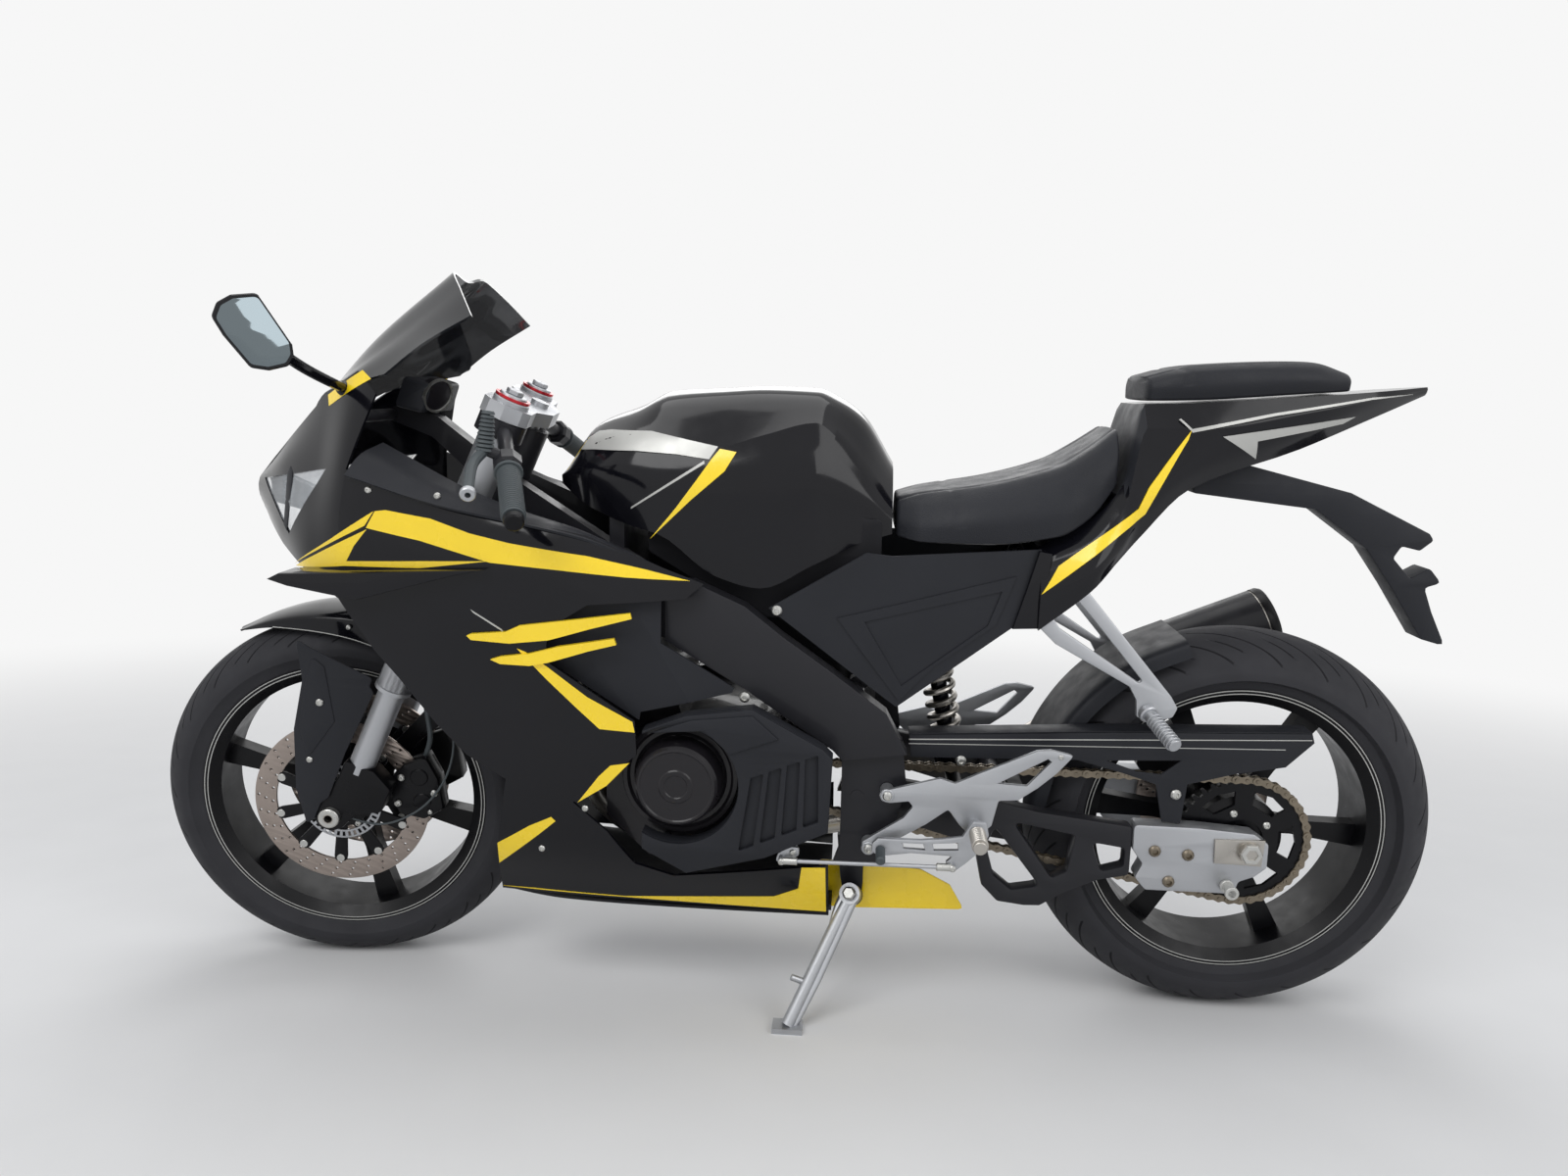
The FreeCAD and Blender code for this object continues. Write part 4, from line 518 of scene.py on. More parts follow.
def side_surface(table):
    """Half width of a body at (x, z), from its table of stations."""
    levels = levels_of(table)

    def half_width(x, z):
        section = sorted((height(x), width(x)) for height, width in levels)
        return smooth_through([p[0] for p in section], [p[1] for p in section])(z)

    return half_width


def panel(loops, surface, lift=0.0, wall=SKIN, step=14.0):
    """Side-view outline laid on a surface y = surface(x, z), its thickness inwards, on both sides."""
    bm = bmesh.new()
    bm.from_mesh(flat_mesh(loops))
    bmesh.ops.dissolve_limit(bm, angle_limit=0.01, verts=bm.verts, edges=bm.edges)
    for axis in (0, 1):
        values = [v.co[axis] for v in bm.verts]
        at = math.ceil(min(values) / step) * step
        while at < max(values):
            point = Vector((0, 0, 0))
            point[axis] = at
            normal = Vector((0, 0, 0))
            normal[axis] = 1
            everything = bm.verts[:] + bm.edges[:] + bm.faces[:]
            bmesh.ops.bisect_plane(bm, geom=everything, plane_co=point, plane_no=normal, dist=0.01)
            at += step
    bmesh.ops.triangulate(bm, faces=[f for f in bm.faces if len(f.verts) > 4])
    for vert in bm.verts:
        x, z, _ = vert.co
        vert.co = (x, surface(x, z) + lift, z)
    sheet = mesh_from(bm)
    if sum(p.normal.y * p.area for p in sheet.polygons) < 0:
        sheet.flip_normals()
    solidify = ("SOLIDIFY", {"thickness": wall, "offset": -1, "use_even_offset": True})
    return both_sides(evaluated(sheet, solidify))


def film(loops, surface, lift=PAINT_LIFT, step=14.0):
    """Paint, film or a flat moulding on a surface, as thick as it stands out."""
    return panel(loops, surface, lift, lift, step)


def refined(points, steps):
    """A smooth line through points, with so many steps from each to the next."""
    places = list(range(len(points)))
    curves = [smooth_through(places, [p[k] for p in points]) for k in range(len(points[0]))]
    return [[curve(i / steps) for curve in curves] for i in range((len(points) - 1) * steps + 1)]


def sheet_of(rows, wall=SKIN, steps=8, along=8):
    """A curved sheet through rows of points, with so many steps between points and between rows."""
    fine = [refined(row, steps) for row in rows]
    columns = [refined(column, along) for column in zip(*fine)]
    return grid_mesh(list(zip(*columns)), wall)


def grid_mesh(grid, wall):
    """A sheet through a grid of points, with its wall below."""
    bm = bmesh.new()
    verts = [[bm.verts.new(p) for p in line] for line in grid]
    for a, b in zip(verts, verts[1:]):
        for j in range(len(a) - 1):
            bm.faces.new((a[j], a[j + 1], b[j + 1], b[j]))
    sheet = mesh_from(bm)
    if sum(p.normal.z * p.area for p in sheet.polygons) < 0:
        sheet.flip_normals()
    return evaluated(sheet, ("SOLIDIFY", {"thickness": wall, "offset": -1}))


def skin(rings, merge=0.0):
    """Closed mesh through rings of points, its two ends filled."""
    bm = bmesh.new()
    made = [[bm.verts.new(p) for p in ring] for ring in rings]
    for a, b in zip(made, made[1:]):
        for j in range(len(a)):
            k = (j + 1) % len(a)
            bm.faces.new((a[j], a[k], b[k], b[j]))
    bm.faces.new(made[0])
    bm.faces.new(list(reversed(made[-1])))
    if merge:
        bmesh.ops.remove_doubles(bm, verts=bm.verts, dist=merge)
    return mesh_from(bm)


def loft(table, crease=(), per_station=5, per_level=5):
    """Closed smooth body through a table of stations, each from top to bottom; creases stay sharp."""
    xs = sorted(row[0] for row in table)
    levels = levels_of(table)
    cuts = [0, *crease, len(levels) - 1]
    places = [a + (b - a) * i / per_station for a, b in zip(xs, xs[1:]) for i in range(per_station)]
    rings = []
    for x in places + [xs[-1]]:
        points = [(height(x), width(x)) for height, width in levels]
        line = []
        for low, high in zip(cuts, cuts[1:]):
            line += refined(points[low:high + 1], per_level)[:-1]
        line.append(points[-1])
        rings.append([(x, y, z) for z, y in line] + [(x, -y, z) for z, y in reversed(line)])
    return skin(rings, 0.05)


def bolt_mesh(spot, radius, direction=(0, 1, 0)):
    """Button head with a socket, its seat at the spot."""
    r = radius
    mesh = lathe([(-0.3 * r, 0), (-0.3 * r, r), (0.25 * r, r), (0.55 * r, 0.75 * r), (0.62 * r, 0.5 * r),
                  (0.25 * r, 0.42 * r), (0.25 * r, 0)], 12, closed=False)
    mesh.transform(turned(direction, spot))
    return mesh


# Bodywork, on the stations that shape it: x, then (height, half width) from crest to keel

HULL = [
    (1556, (823, 8), (816, 15), (806, 18), (796, 17), (788, 14), (780, 8)),
    (1470, (892, 58), (846, 90), (800, 104), (752, 110), (722, 106), (700, 90)),
    (1390, (955, 100), (852, 142), (780, 168), (706, 178), (660, 172), (600, 150)),
    (1325, (992, 130), (852, 186), (776, 202), (668, 202), (592, 192), (520, 170)),
    (1180, (830, 196), (790, 209), (720, 217), (560, 209), (330, 187), (196, 130)),
    (1040, (800, 190), (757, 213), (680, 218), (520, 212), (320, 188), (182, 132)),
    (900, (762, 176), (722, 196), (650, 207), (480, 206), (310, 186), (176, 130)),
    (790, (715, 160), (700, 172), (640, 186), (450, 198), (300, 182), (174, 128)),
    (600, (640, 150), (600, 156), (500, 164), (400, 172), (290, 170), (172, 124)),
]
hull = side_surface(HULL)

LAMP = [(1532, 822), (1368, 850), (1446, 748)]
NOSE = [(1555, 823), (1470, 892), (1390, 955), (1325, 990), (1290, 958), (1325, 852), (1342, 700),
        (1342, 666), (1414, 706), (1470, 728), (1555, 780)]
FAIRING = [(1325, 852), (1183, 812), (976, 768), (812, 700), (837, 680), (972, 672), (1028, 637),
           (1035, 590), (908, 501), (906, 449), (1004, 368), (1033, 346), (1135, 240), (1130, 272),
           (1118, 330), (1104, 401), (1161, 437), (1206, 486), (1256, 550), (1293, 592), (1342, 666),
           (1342, 700)]
BELLY = [(1135, 240), (1033, 346), (1004, 368), (955, 320), (918, 262), (860, 240), (700, 262), (624, 273),
         (622, 173), (1139, 190)]
TOP_STRIPE = [(1276, 796), (1260, 798), (1195, 788), (1138, 769), (1082, 757), (973, 741),
              (892, 722), (831, 705), (918, 711), (1013, 721), (1110, 729), (1210, 757), (1290, 772)]
NOSE_EDGE = [(1436, 705), (1349, 753), (1278, 796), (1292, 775)]
WEDGE = [(1434, 702), (1289, 770), (1311, 745), (1329, 715)]
WEDGE_LINE = [(1328, 722), (1210, 728), (1110, 731), (1211, 718), (1329, 715)]
LOW_STRIPE = [(1062, 601), (1030, 579), (975, 536), (911, 500), (908, 484), (959, 488), (990, 518),
              (1036, 564), (1075, 606)]
PALE_LINE = [(1136, 656), (1091, 628), (1096, 634), (1140, 661)]
MID_STRIPE = [(917, 436), (945, 431), (963, 413), (997, 368), (952, 398)]
FRONT_STRIPE = [(1128, 288), (1075, 323), (1039, 341), (1033, 334), (1062, 308), (1133, 246)]
SCREEN_STRIP = [(1386, 954), (1316, 991), (1300, 979), (1380, 938)]
BELLY_YELLOW = [(1137, 195), (1089, 195), (940, 189), (707, 204), (669, 224), (664, 268), (628, 269),
                (626, 175)]
YELLOW_LINES = [TOP_STRIPE, NOSE_EDGE, WEDGE, WEDGE_LINE, LOW_STRIPE, MID_STRIPE, FRONT_STRIPE, SCREEN_STRIP]
BELLY_ENDS = {"front": 1139, "rear": 622}
BELLY_TAIL = [(640, 240), (533, 235), (479, 231), (432, 207), (408, 166), (578, 160), (640, 160)]
BELLY_TAIL_ARM = [(618, 178), (642, 178), (642, 188), (618, 188)]
ARCH = (-1, -0.5, 0, 0.5, 1)

# x, half width, height at the edge and in the middle
NOSE_CROWN = [(1555, 10, 822, 825), (1512, 38, 856, 864), (1470, 60, 889, 902), (1430, 80, 922, 936)]


def nose():
    on_bike("nose_panels", panel([NOSE, LAMP], hull, step=9), "black_gloss", ["nose_cowl"])
    crown = [[(x, y * k, low + (high - low) * (1 - k * k)) for k in ARCH] for x, y, low, high in NOSE_CROWN]
    on_bike("nose_crown", sheet_of(crown), "black_gloss")


def fairing():
    on_bike("fairing_sides", panel([FAIRING], hull), "black_gloss", ["side_fairings"])
    on_bike("fairing_stripes", united([film([line], hull) for line in YELLOW_LINES]), "yellow")
    on_bike("fairing_pale_line", film([PALE_LINE], hull), "pale")


def belly_pan():
    on_bike("belly_sides", panel([BELLY], hull), "black_gloss", ["belly_pan"])
    rows = []
    for x, *levels in HULL[4:]:
        z, y = levels[-1]
        rows.append([(min(x, BELLY_ENDS["front"]), y * k, z - 4 * (1 - k * k)) for k in ARCH])
    rows[-1] = [(BELLY_ENDS["rear"], y, z) for x, y, z in rows[-1]]
    on_bike("belly_floor", sheet_of(rows), "inside")
    on_bike("belly_strip", film([BELLY_YELLOW], hull), "yellow")
    on_bike("belly_tail", plate([rounded(BELLY_TAIL, 5, 2)], 80, SKIN), "yellow")
    on_bike("belly_tail_arm", plate([BELLY_TAIL_ARM], 127, 51), "frame_black")


TANK = [
    (1050, (846, 0), (845, 20), (842, 38), (838, 52), (826, 50)),
    (1000, (917, 0), (912, 30), (885, 80), (846, 106), (800, 100)),
    (930, (946, 0), (940, 44), (906, 112), (850, 140), (776, 132)),
    (885, (968, 0), (960, 52), (900, 128), (840, 150), (766, 146)),
    (800, (974, 0), (968, 56), (893, 138), (830, 153), (706, 146)),
    (734, (978, 0), (972, 56), (910, 130), (840, 150), (690, 146)),
    (660, (976, 0), (970, 52), (928, 110), (850, 140), (724, 136)),
    (630, (964, 0), (958, 48), (908, 106), (840, 128), (738, 126)),
    (590, (936, 0), (930, 44), (862, 100), (820, 113), (756, 112)),
    (545, (866, 0), (860, 36), (802, 88), (790, 92), (768, 96)),
]
tank = side_surface([(x, *rows[1:]) for x, *rows in TANK])
TANK_SILVER = [(1020, 879), (1000, 906), (966, 911), (898, 912), (845, 902), (798, 893), (810, 875),
               (858, 881), (918, 884), (990, 882)]
TANK_YELLOW_EDGE = [(1044, 850), (1030, 868), (1008, 898), (1000, 906), (1020, 880), (1042, 846)]
TANK_YELLOW = [(806, 876), (795, 890), (771, 886), (787, 859), (836, 816), (896, 758), (857, 805), (826, 847)]
TANK_LINE = [(817, 873), (925, 803), (925, 800), (816, 869)]


def fuel_tank():
    on_bike("tank_shell", loft(TANK, crease=(2,)), "black_gloss", ["fuel_tank"], angle=24)
    for name, lines, look in (("tank_stripes", [TANK_YELLOW_EDGE, TANK_YELLOW], "yellow"),
                              ("tank_silver", [TANK_SILVER], "pale"), ("tank_line", [TANK_LINE], "pale")):
        on_bike(name, film(lines, tank, step=8), look)


TAIL = [
    (332, (756, 0), (756, 100), (740, 124), (694, 144), (640, 142)),
    (262, (796, 0), (796, 98), (770, 122), (726, 142), (697, 138)),
    (216, (850, 0), (850, 94), (820, 112), (770, 118), (742, 108)),
    (190, (962, 0), (962, 70), (930, 96), (830, 108), (770, 96)),
    (120, (966, 0), (966, 82), (930, 100), (880, 96), (842, 80)),
    (-40, (978, 0), (978, 74), (956, 84), (930, 74), (902, 52)),
    (-150, (988, 0), (987, 50), (978, 54), (968, 46), (950, 32)),
    (-226, (994, 0), (994, 14), (991, 16), (986, 14), (982, 10)),
]
tail = side_surface([(x, *rows[1:]) for x, *rows in TAIL])
TAIL_YELLOW = [(331, 694), (308, 734), (196, 816), (183, 847), (130, 928), (133, 915), (167, 846), (185, 808),
               (254, 754), (299, 719)]
TAIL_FACET = [(85, 920), (54, 925), (-112, 950), (-95, 940), (33, 914), (27, 888)]
TAIL_EDGE = [(144, 944), (129, 930), (15, 954), (-129, 978), (-200, 983), (-129, 975), (15, 950), (128, 925),
             (147, 943)]
RIDER_SEAT = [
    (541, (820, 0), (818, 40), (808, 66), (784, 84), (762, 86)),
    (500, (830, 0), (828, 62), (815, 88), (780, 112), (757, 114)),
    (410, (844, 0), (842, 80), (826, 108), (788, 128), (757, 126)),
    (310, (872, 0), (870, 84), (850, 108), (802, 126), (770, 124)),
    (262, (900, 0), (898, 76), (878, 98), (830, 110), (797, 108)),
    (222, (930, 0), (928, 60), (915, 80), (884, 92), (848, 90)),
]
RIDER_SEAMS = [lambda x, y: y - 74 + 0.00096 * (x - 400) ** 2, lambda x, y: x - 470 + 0.0016 * y * y]
PILLION_SEAT = [
    (190, (1004, 0), (1002, 40), (998, 60), (984, 70), (966.4, 68)),
    (120, (1020, 0), (1018, 60), (1010, 84), (990, 90), (968.4, 82)),
    (-40, (1028, 0), (1026, 50), (1018, 72), (1000, 82), (980.4, 74)),
    (-104, (1012, 0), (1010, 34), (1006, 48), (998, 56), (985, 54)),
]
PILLION_SEAMS = [lambda x, y: y - 62 + 0.0011 * (x - 90) ** 2, lambda x, y: x - 150 + 0.002 * y * y]


def cushion(table, seams, depth=2.4, reach=7.0):
    """A stuffed pad, its cover drawn in on the upper side along seams, each given as f(x, y) = 0."""
    mesh = evaluated(loft(table, per_station=7, per_level=6), ("SUBSURF", {"levels": 1}))
    normals = [tuple(v.normal) for v in mesh.vertices]
    for vert, normal in zip(mesh.vertices, normals):
        x, y, _ = vert.co
        if normal[2] < 0.05:
            continue
        pull = 0.0
        for seam in seams:
            gap = abs(seam(x, abs(y)))
            pull = max(pull, 1 - gap / reach)
        if pull > 0:
            vert.co = Vector(vert.co) - Vector(normal) * depth * pull * pull
    return mesh


def tail_cowl():
    """The tail with its matte face behind the rider, and its trim."""
    shell = loft(TAIL, crease=(1, 2))
    hump = [face.index for face in shell.polygons if face.normal.x > 0.5 and 840 < face.center.z < 968]
    piece = on_bike("tail_shell", shell, "black_gloss", ["tail_cowl"], angle=24)
    second_look(piece, FINISHES["black_matte"], hump)
    on_bike("tail_stripe", film([TAIL_YELLOW], tail, 1.6, 8), "yellow")
    on_bike("tail_facets", film([TAIL_FACET, TAIL_EDGE], tail, 1.2, 8), "pale")


def seats():
    for name, table, seams, node in (("rider_cushion", RIDER_SEAT, RIDER_SEAMS, "rider_seat"),
                                     ("pillion_cushion", PILLION_SEAT, PILLION_SEAMS, "pillion_seat")):
        seat = on_bike(name, cushion(table, seams), "seat", [node], angle=60)


# outline of the dark sheet of painted shade that fills the gap under the tank
TANK_GAP_SHADE = [(905, 735), (846, 700), (752, 640), (640, 640), (560, 735), (560, 790), (700, 800), (905, 790)]

# left halves of the screen's rows, from the nose to the upper edge
SCREEN_ROWS = [[(1446, 0, 923), (1437, 50, 923), (1394, 97, 957), (1280, 144, 986)],
               [(1340, 0, 1030), (1330, 58, 1036), (1296, 104, 1022), (1222, 142, 1030)],
               [(1206, 0, 1128), (1204, 58, 1136), (1180, 100, 1108), (1152, 136, 1070)]]


def tank_gap_shade():
    """Painted shade: a dark sheet that closes the space between the tank, the spars and the side panels, where
    that space lies in shade.
    """
    on_bike("tank_gap_shade", both_sides(plate([rounded(TANK_GAP_SHADE, 8, 3)], 112, 6)), "inside")


def windscreen():
    rows = [[(x, -y, z) for x, y, z in reversed(row[1:])] + row for row in SCREEN_ROWS]
    on_bike("screen_pane", sheet_of(rows, 4, 6, 8), "screen", ["windscreen"], angle=60)


# Wheels: name, tyre, frame and half width over the rim

WHEELS = (("front", FRONT_TYRE, FRONT, 50), ("rear", REAR_TYRE, REAR, 62))

# the tread: pitches round a tyre, columns of faces in a pitch, depth of the band below the crown,
# sweep of the grooves in degrees, and where they run, in shares of the half width
TREAD_PITCHES = 24
TREAD_COLUMNS = 30
TREAD_BAND = 40
TREAD_SWEEP = {"front": -34, "rear": 34}
GROOVE_DEPTH = 3.4
LONG_GROOVE = (0.1, 0.9)
SHORT_GROOVE = (0.5, 0.78)

# radius, and the middle of the thickness on Y
FRONT_DISC = {"radius": 140, "at": 62}
REAR_DISC = {"radius": 108, "at": 90}


def tyre_section(size, points=22):
    """Half profile of the tread and side wall from bead to crown: (offset, radius)."""
    half = size["width"] / 2
    crown = size["crown"]
    shoulder = math.asin((half - 1.5) / crown)
    tread = []
    for i in range(points):
        a = shoulder * i / (points - 1)
        tread.append((crown * math.sin(a), size["radius"] - crown * (1 - math.cos(a))))
    edge = tread[-1]
    wall = [(half, edge[1] - 5), (half - 0.5, edge[1] - 14), (size["rim_half"] + 10, BEAD_RADIUS + 26),
            (size["rim_half"] + 6.5, BEAD_RADIUS + 17), (size["rim_half"] + 5, BEAD_RADIUS + 14)]
    return tread + wall


def in_groove(column, share):
    """Whether a place on the tread, by column of faces and share of the half width, lies in a groove."""
    if column == 0:
        return LONG_GROOVE[0] < share < LONG_GROOVE[1]
    return column == TREAD_COLUMNS // 2 and SHORT_GROOVE[0] < share < SHORT_GROOVE[1]


def tyre_mesh(size, sweep):
    """A road tyre whose columns of faces bend with the grooves, and the faces that lie in a groove, to be given a
    darker black as painted shade.
    """
    half = tyre_section(size)
    profile = [(-y, r) for y, r in reversed(half)] + half[1:]
    inner = [(size["rim_half"] - 6, BEAD_RADIUS + 4), (-size["rim_half"] + 6, BEAD_RADIUS + 4)]
    count = TREAD_PITCHES * TREAD_COLUMNS
    mesh = lathe(profile + inner, count)
    cut = set()
    for vert in mesh.vertices:
        x, y, z = vert.co
        radius = math.hypot(x, z)
        angle = math.atan2(z, x)
        share = min(abs(y) / (size["width"] / 2), 1.0)
        shift = TREAD_COLUMNS // 2 if y > 0 else 0
        column = (round(angle / (2 * math.pi) * count) + shift) % TREAD_COLUMNS
        if radius > size["radius"] - TREAD_BAND and in_groove(column, share):
            cut.add(vert.index)
            radius -= GROOVE_DEPTH
        angle += math.radians(sweep) * share ** 0.75
        vert.co = (radius * math.cos(angle), y, radius * math.sin(angle))
    return mesh, [face.index for face in mesh.polygons if sum(i in cut for i in face.vertices) > 1]


def tyres():
    for end, size, pose, _ in WHEELS:
        mesh, grooves = tyre_mesh(size, TREAD_SWEEP[end])
        tyre = place(end + "_tyre_tread", mesh, pose, end + "_wheel", "tyre", [end + "_tyre"], angle=22)
        # the groove faces take a darker black than the tread: painted shade in the grooves
        second_look(tyre, EXTRA["inside"], grooves)


def rim_lines():
    """Fine pale lines on the lips of both rims."""
    lip = BEAD_RADIUS + 13
    for end, _, pose, half in WHEELS:
        lines = []
        for outer in (lip - 1.5, lip - 6.5):
            inner = outer - 1.3
            ring = [(half + 0.5, outer), (half + 0.5, inner), (half - 0.4, inner), (half - 0.4, outer)]
            lines.append(lathe(ring, 160))
        place(end + "_rim_lines", both_sides(united(lines)), pose, end + "_wheel", "pale")


def drilled_disc(radius, at, rows, count):
    """A thin disc with slanted rows of small holes, from the middle of its thickness at Y = at."""
    band = radius - 34
    holes = [circle(0, 0, band, 96)]
    for i in range(count):
        for k in range(rows):
            x, z = polar(band + 6 + 22 * k / (rows - 1), (i + 0.22 * k) / count)
            holes.append(circle(x, z, 2.3, 10))
    return plate([circle(0, 0, radius, 144)] + holes, at + 2.25, 4.5, 0.4)


def disc_spider(radius, at, arms, inner):
    """Carrier of a disc: a hub ring with arms that end in lugs."""
    arm = ((-0.30, inner + 14), (-0.17, radius - 40), (-0.13, radius - 31), (0.13, radius - 31),
           (0.17, radius - 40), (0.30, inner + 14))
    edge = [polar(r, (i + share) / arms) for i in range(arms) for share, r in arm]
    return plate([rounded(edge, 5, 3), circle(0, 0, inner, 48)], at + 3, 6, 1.2)


def tone_ring(radius, at, count=40):
    """Slotted ring that the wheel speed sensor reads."""
    slot = ((radius - 3, 0.2), (radius - 3, 0.7), (radius - 11, 0.7), (radius - 11, 0.2))
    slots = [[polar(r, (i + share) / count) for r, share in slot] for i in range(count)]
    return plate([circle(0, 0, radius, 96), circle(0, 0, radius - 14, 64)] + slots, at, 2, 0.2)


def bolt_ring(radius, at, count, size):
    """Bolts in a ring about a wheel's axis, their seats at Y = at."""
    return united([bolt_mesh((x, at, z), size) for x, z in circle(0, 0, radius, count)])


def front_discs():
    radius, at = FRONT_DISC["radius"], FRONT_DISC["at"]
    on_front_wheel("front_disc_faces", both_sides(drilled_disc(radius, at, 3, 30)), "disc", ["front_discs"])
    spider = united([disc_spider(radius, at, 10, 30), across(0, 0, 48, at, 34, 32, 48)])
    on_front_wheel("front_disc_carriers", both_sides(spider), "rim_black")
    buttons = [across(x, z, at - 3.4, at + 3.3, 6.5, 6.5, 20, 0.4) for x, z in circle(0, 0, 103, 10)]
    on_front_wheel("front_disc_buttons", both_sides(united(buttons)), "bolt")
    on_front_wheel("front_disc_bolts", both_sides(bolt_ring(45, at + 3, 5, 5)), "bolt")
    on_front_wheel("front_tone_ring", tone_ring(64, 67.5), "silver")


def rear_disc():
    """Disc, carrier and bolts on the right side, and the bolts of the sprocket on the left."""
    radius, at = REAR_DISC["radius"], REAR_DISC["at"]
    face = drilled_disc(radius, at, 3, 24)
    hub = united([disc_spider(radius, at, 6, 30), across(0, 0, 55.4, at, 32, 32, 48)])
    on_rear_wheel("rear_disc_face", mirrored(face), "disc", ["rear_disc"])
    on_rear_wheel("rear_disc_carrier", mirrored(hub), "rim_black")
    on_rear_wheel("rear_disc_bolts", mirrored(bolt_ring(42, at + 3, 6, 5)), "bolt")
    on_rear_wheel("sprocket_bolts", bolt_ring(45, 96, 5, 6), "bolt")


# Engine sides and the panels behind the spars

ENGINE_AT = (848, 404)
NOTCH_RADIUS = 91
COVER = [(148, 0), (148, 86), (166, 88), (170, 86), (170.5, 80), (166, 76), (166, 70), (172, 66),
         (196, 63), (204, 61), (209, 57), (210, 54), (208.5, 52), (208.5, 26), (210, 24), (210, 18),
         (208.8, 16.5), (208.8, 0)]
SHROUD = [(898, 486), (834, 511), (738, 524), (635, 468), (621, 454), (625, 341), (717, 297), (834, 267),
          (900, 303), (900, 329)]
SHROUD_FEET = ((745, 305), (720, 440), (872, 301))
SHROUD_FACET = [(886, 484), (826, 506), (737, 516), (699, 482), (770, 456), (806, 490)]
LOUVRES = (((743, 419), (638, 461)), ((761, 304), (635, 359)))
LOUVRE_COUNT = 4
SIDE_PANEL = [(721, 662), (582, 747), (544, 743), (332, 756), (347, 704), (361, 646), (531, 519)]
SIDE_FACET = [(621, 651), (366, 717), (392, 645), (477, 583), (528, 529)]
SIDE_POCKET = [(582, 647), (385, 695), (403, 644), (525, 552)]
SPAR = [(870, 700), (830, 700), (755, 667), (697, 622), (625, 572), (545, 513), (513, 452),
        (608, 439), (622, 454), (752, 542), (870, 612)]
TAIL_CORNER = [(368, 640), (350, 702), (336, 755), (318, 752), (324, 690), (326, 642)]
WINGLET = [(1427, 699), (1409, 708), (1281, 713), (1110, 722), (1153, 713), (1298, 673), (1341, 680),
           (1398, 690)]
GILLS = [[(1146, 623), (1140, 626), (1089, 631), (1068, 641), (1026, 647), (911, 662), (909, 654), (970, 638),
          (1027, 621), (1084, 614), (1140, 617)],
         [(1113, 589), (1098, 594), (1056, 600), (1013, 612), (934, 625), (931, 616), (971, 606), (1028, 588),
          (1056, 582), (1099, 583)]]


def louvre_slots(inset):
    """Slanted openings between the upper and the lower edge of the louvres."""
    (top_front, top_rear), (low_front, low_rear) = [[Vector(p) for p in edge] for edge in LOUVRES]
    slots = []
    for i in range(LOUVRE_COUNT):
        corners = []
        for front, rear, shares in ((top_front, top_rear, (0.04, 0.21)), (low_front, low_rear, (0.21, 0.04))):
            corners += [tuple(front.lerp(rear, i / LOUVRE_COUNT + share)) for share in shares]
        slots.append(rounded(corners, inset, 2))
    return slots


def engine_covers():
    cover = lathe(COVER, closed=False)
    cover.transform(Matrix.Translation((ENGINE_AT[0], 0, ENGINE_AT[1])))
    on_bike("cover_rings", both_sides(cover), "engine_grey", ["engine_covers"], angle=20)


def engine_shrouds():
    x, z = ENGINE_AT
    notch = [(x + a, z + b) for a, b in (polar(NOTCH_RADIUS, turn / 360) for turn in range(300, 60, -8))]
    outline = SHROUD + notch + [(898, 481)]
    front = plate([outline] + louvre_slots(2), 204, 7, 1.6)
    back = plate([outline], 197, 22, 0.5)
    feet = [across(*foot, 148.3, 176, 6) for foot in SHROUD_FEET]
    on_bike("shroud_plates", both_sides(united([front, back] + feet)), "black_matte", ["engine_shrouds"])
    on_bike("shroud_facets", both_sides(plate([SHROUD_FACET], 208, 6, 2.4)), "black_matte")


def panel_face(x, z):
    """Half width of the side panels, which draw in towards the rear."""
    return 150 - max(0, 565 - x) * 0.087


def side_panels():
    on_bike("side_shells", panel([SIDE_PANEL], panel_face, 0.4, 6, 60), "black_matte", ["side_panels"])
    on_bike("side_facets", film([SIDE_FACET, SIDE_POCKET], panel_face, 2.6, 60), "black_matte")
    on_bike("spar_faces", both_sides(plate([SPAR], 165.8, 6, 2.6)), "frame_black")
    on_bike("tail_corners", both_sides(plate([TAIL_CORNER], 139, 24, 2)), "black_gloss")


def blades():
    on_bike("winglet_blades", both_sides(plate([WINGLET], 236, 50, 2.2)), "black_gloss", ["winglets"])
    on_bike("gill_fins", panel(GILLS, hull, 6, 7, 12), "yellow", ["gill_blades"])


# Rear end

SWINGARM = [(602, 398), (584, 406), (375, 372), (310, 358), (170, 341), (170, 262), (215, 252), (262, 230),
            (300, 205), (324, 204), (365, 209), (390, 235), (404, 300), (584, 350), (610, 378)]
ARM_WINDOWS = [[(228, 312), (180, 305), (180, 277), (212, 267)],
               [(374, 330), (303, 238), (345, 230), (372, 252), (386, 300)],
               [(348, 340), (254, 322), (264, 264), (285, 252)]]

# x, z, half length and radius of the swingarm's cross tubes
ARM_TUBES = ((584, 378, 126, 22), (430, 368, 108, 12), (360, 340, 108, 19))

END_PLATE = [(170, 346), (74, 345), (-6, 339), (-28, 324), (-29, 286), (-12, 271), (10, 262),
             (14, 246), (26, 242), (146, 242), (163, 262), (153, 284), (169, 306)]
END_BOLTS = ((137, 306), (88, 302), (113, 258))
SPOOL = (28, 256)
ADJUSTER = [(52, 330), (-21, 332), (-19, 290), (50, 292)]
AXLE_NUT = [(146, 9), (146, 15), (149, 16.5), (158, 16.5), (160, 15), (160, 9)]
HANGER = [(338, 706), (328, 642), (305, 620), (195, 560), (184, 540), (182, 516), (168, 507),
          (150, 510), (130, 516), (124, 530), (134, 547), (270, 706)]
HANGER_WINDOW = [(316, 692), (312, 660), (300, 643), (182, 566), (178, 570), (254, 659), (284, 692)]
REAR_PEG = (Vector((168, 134, 524)), Vector((144, 206, 496)))
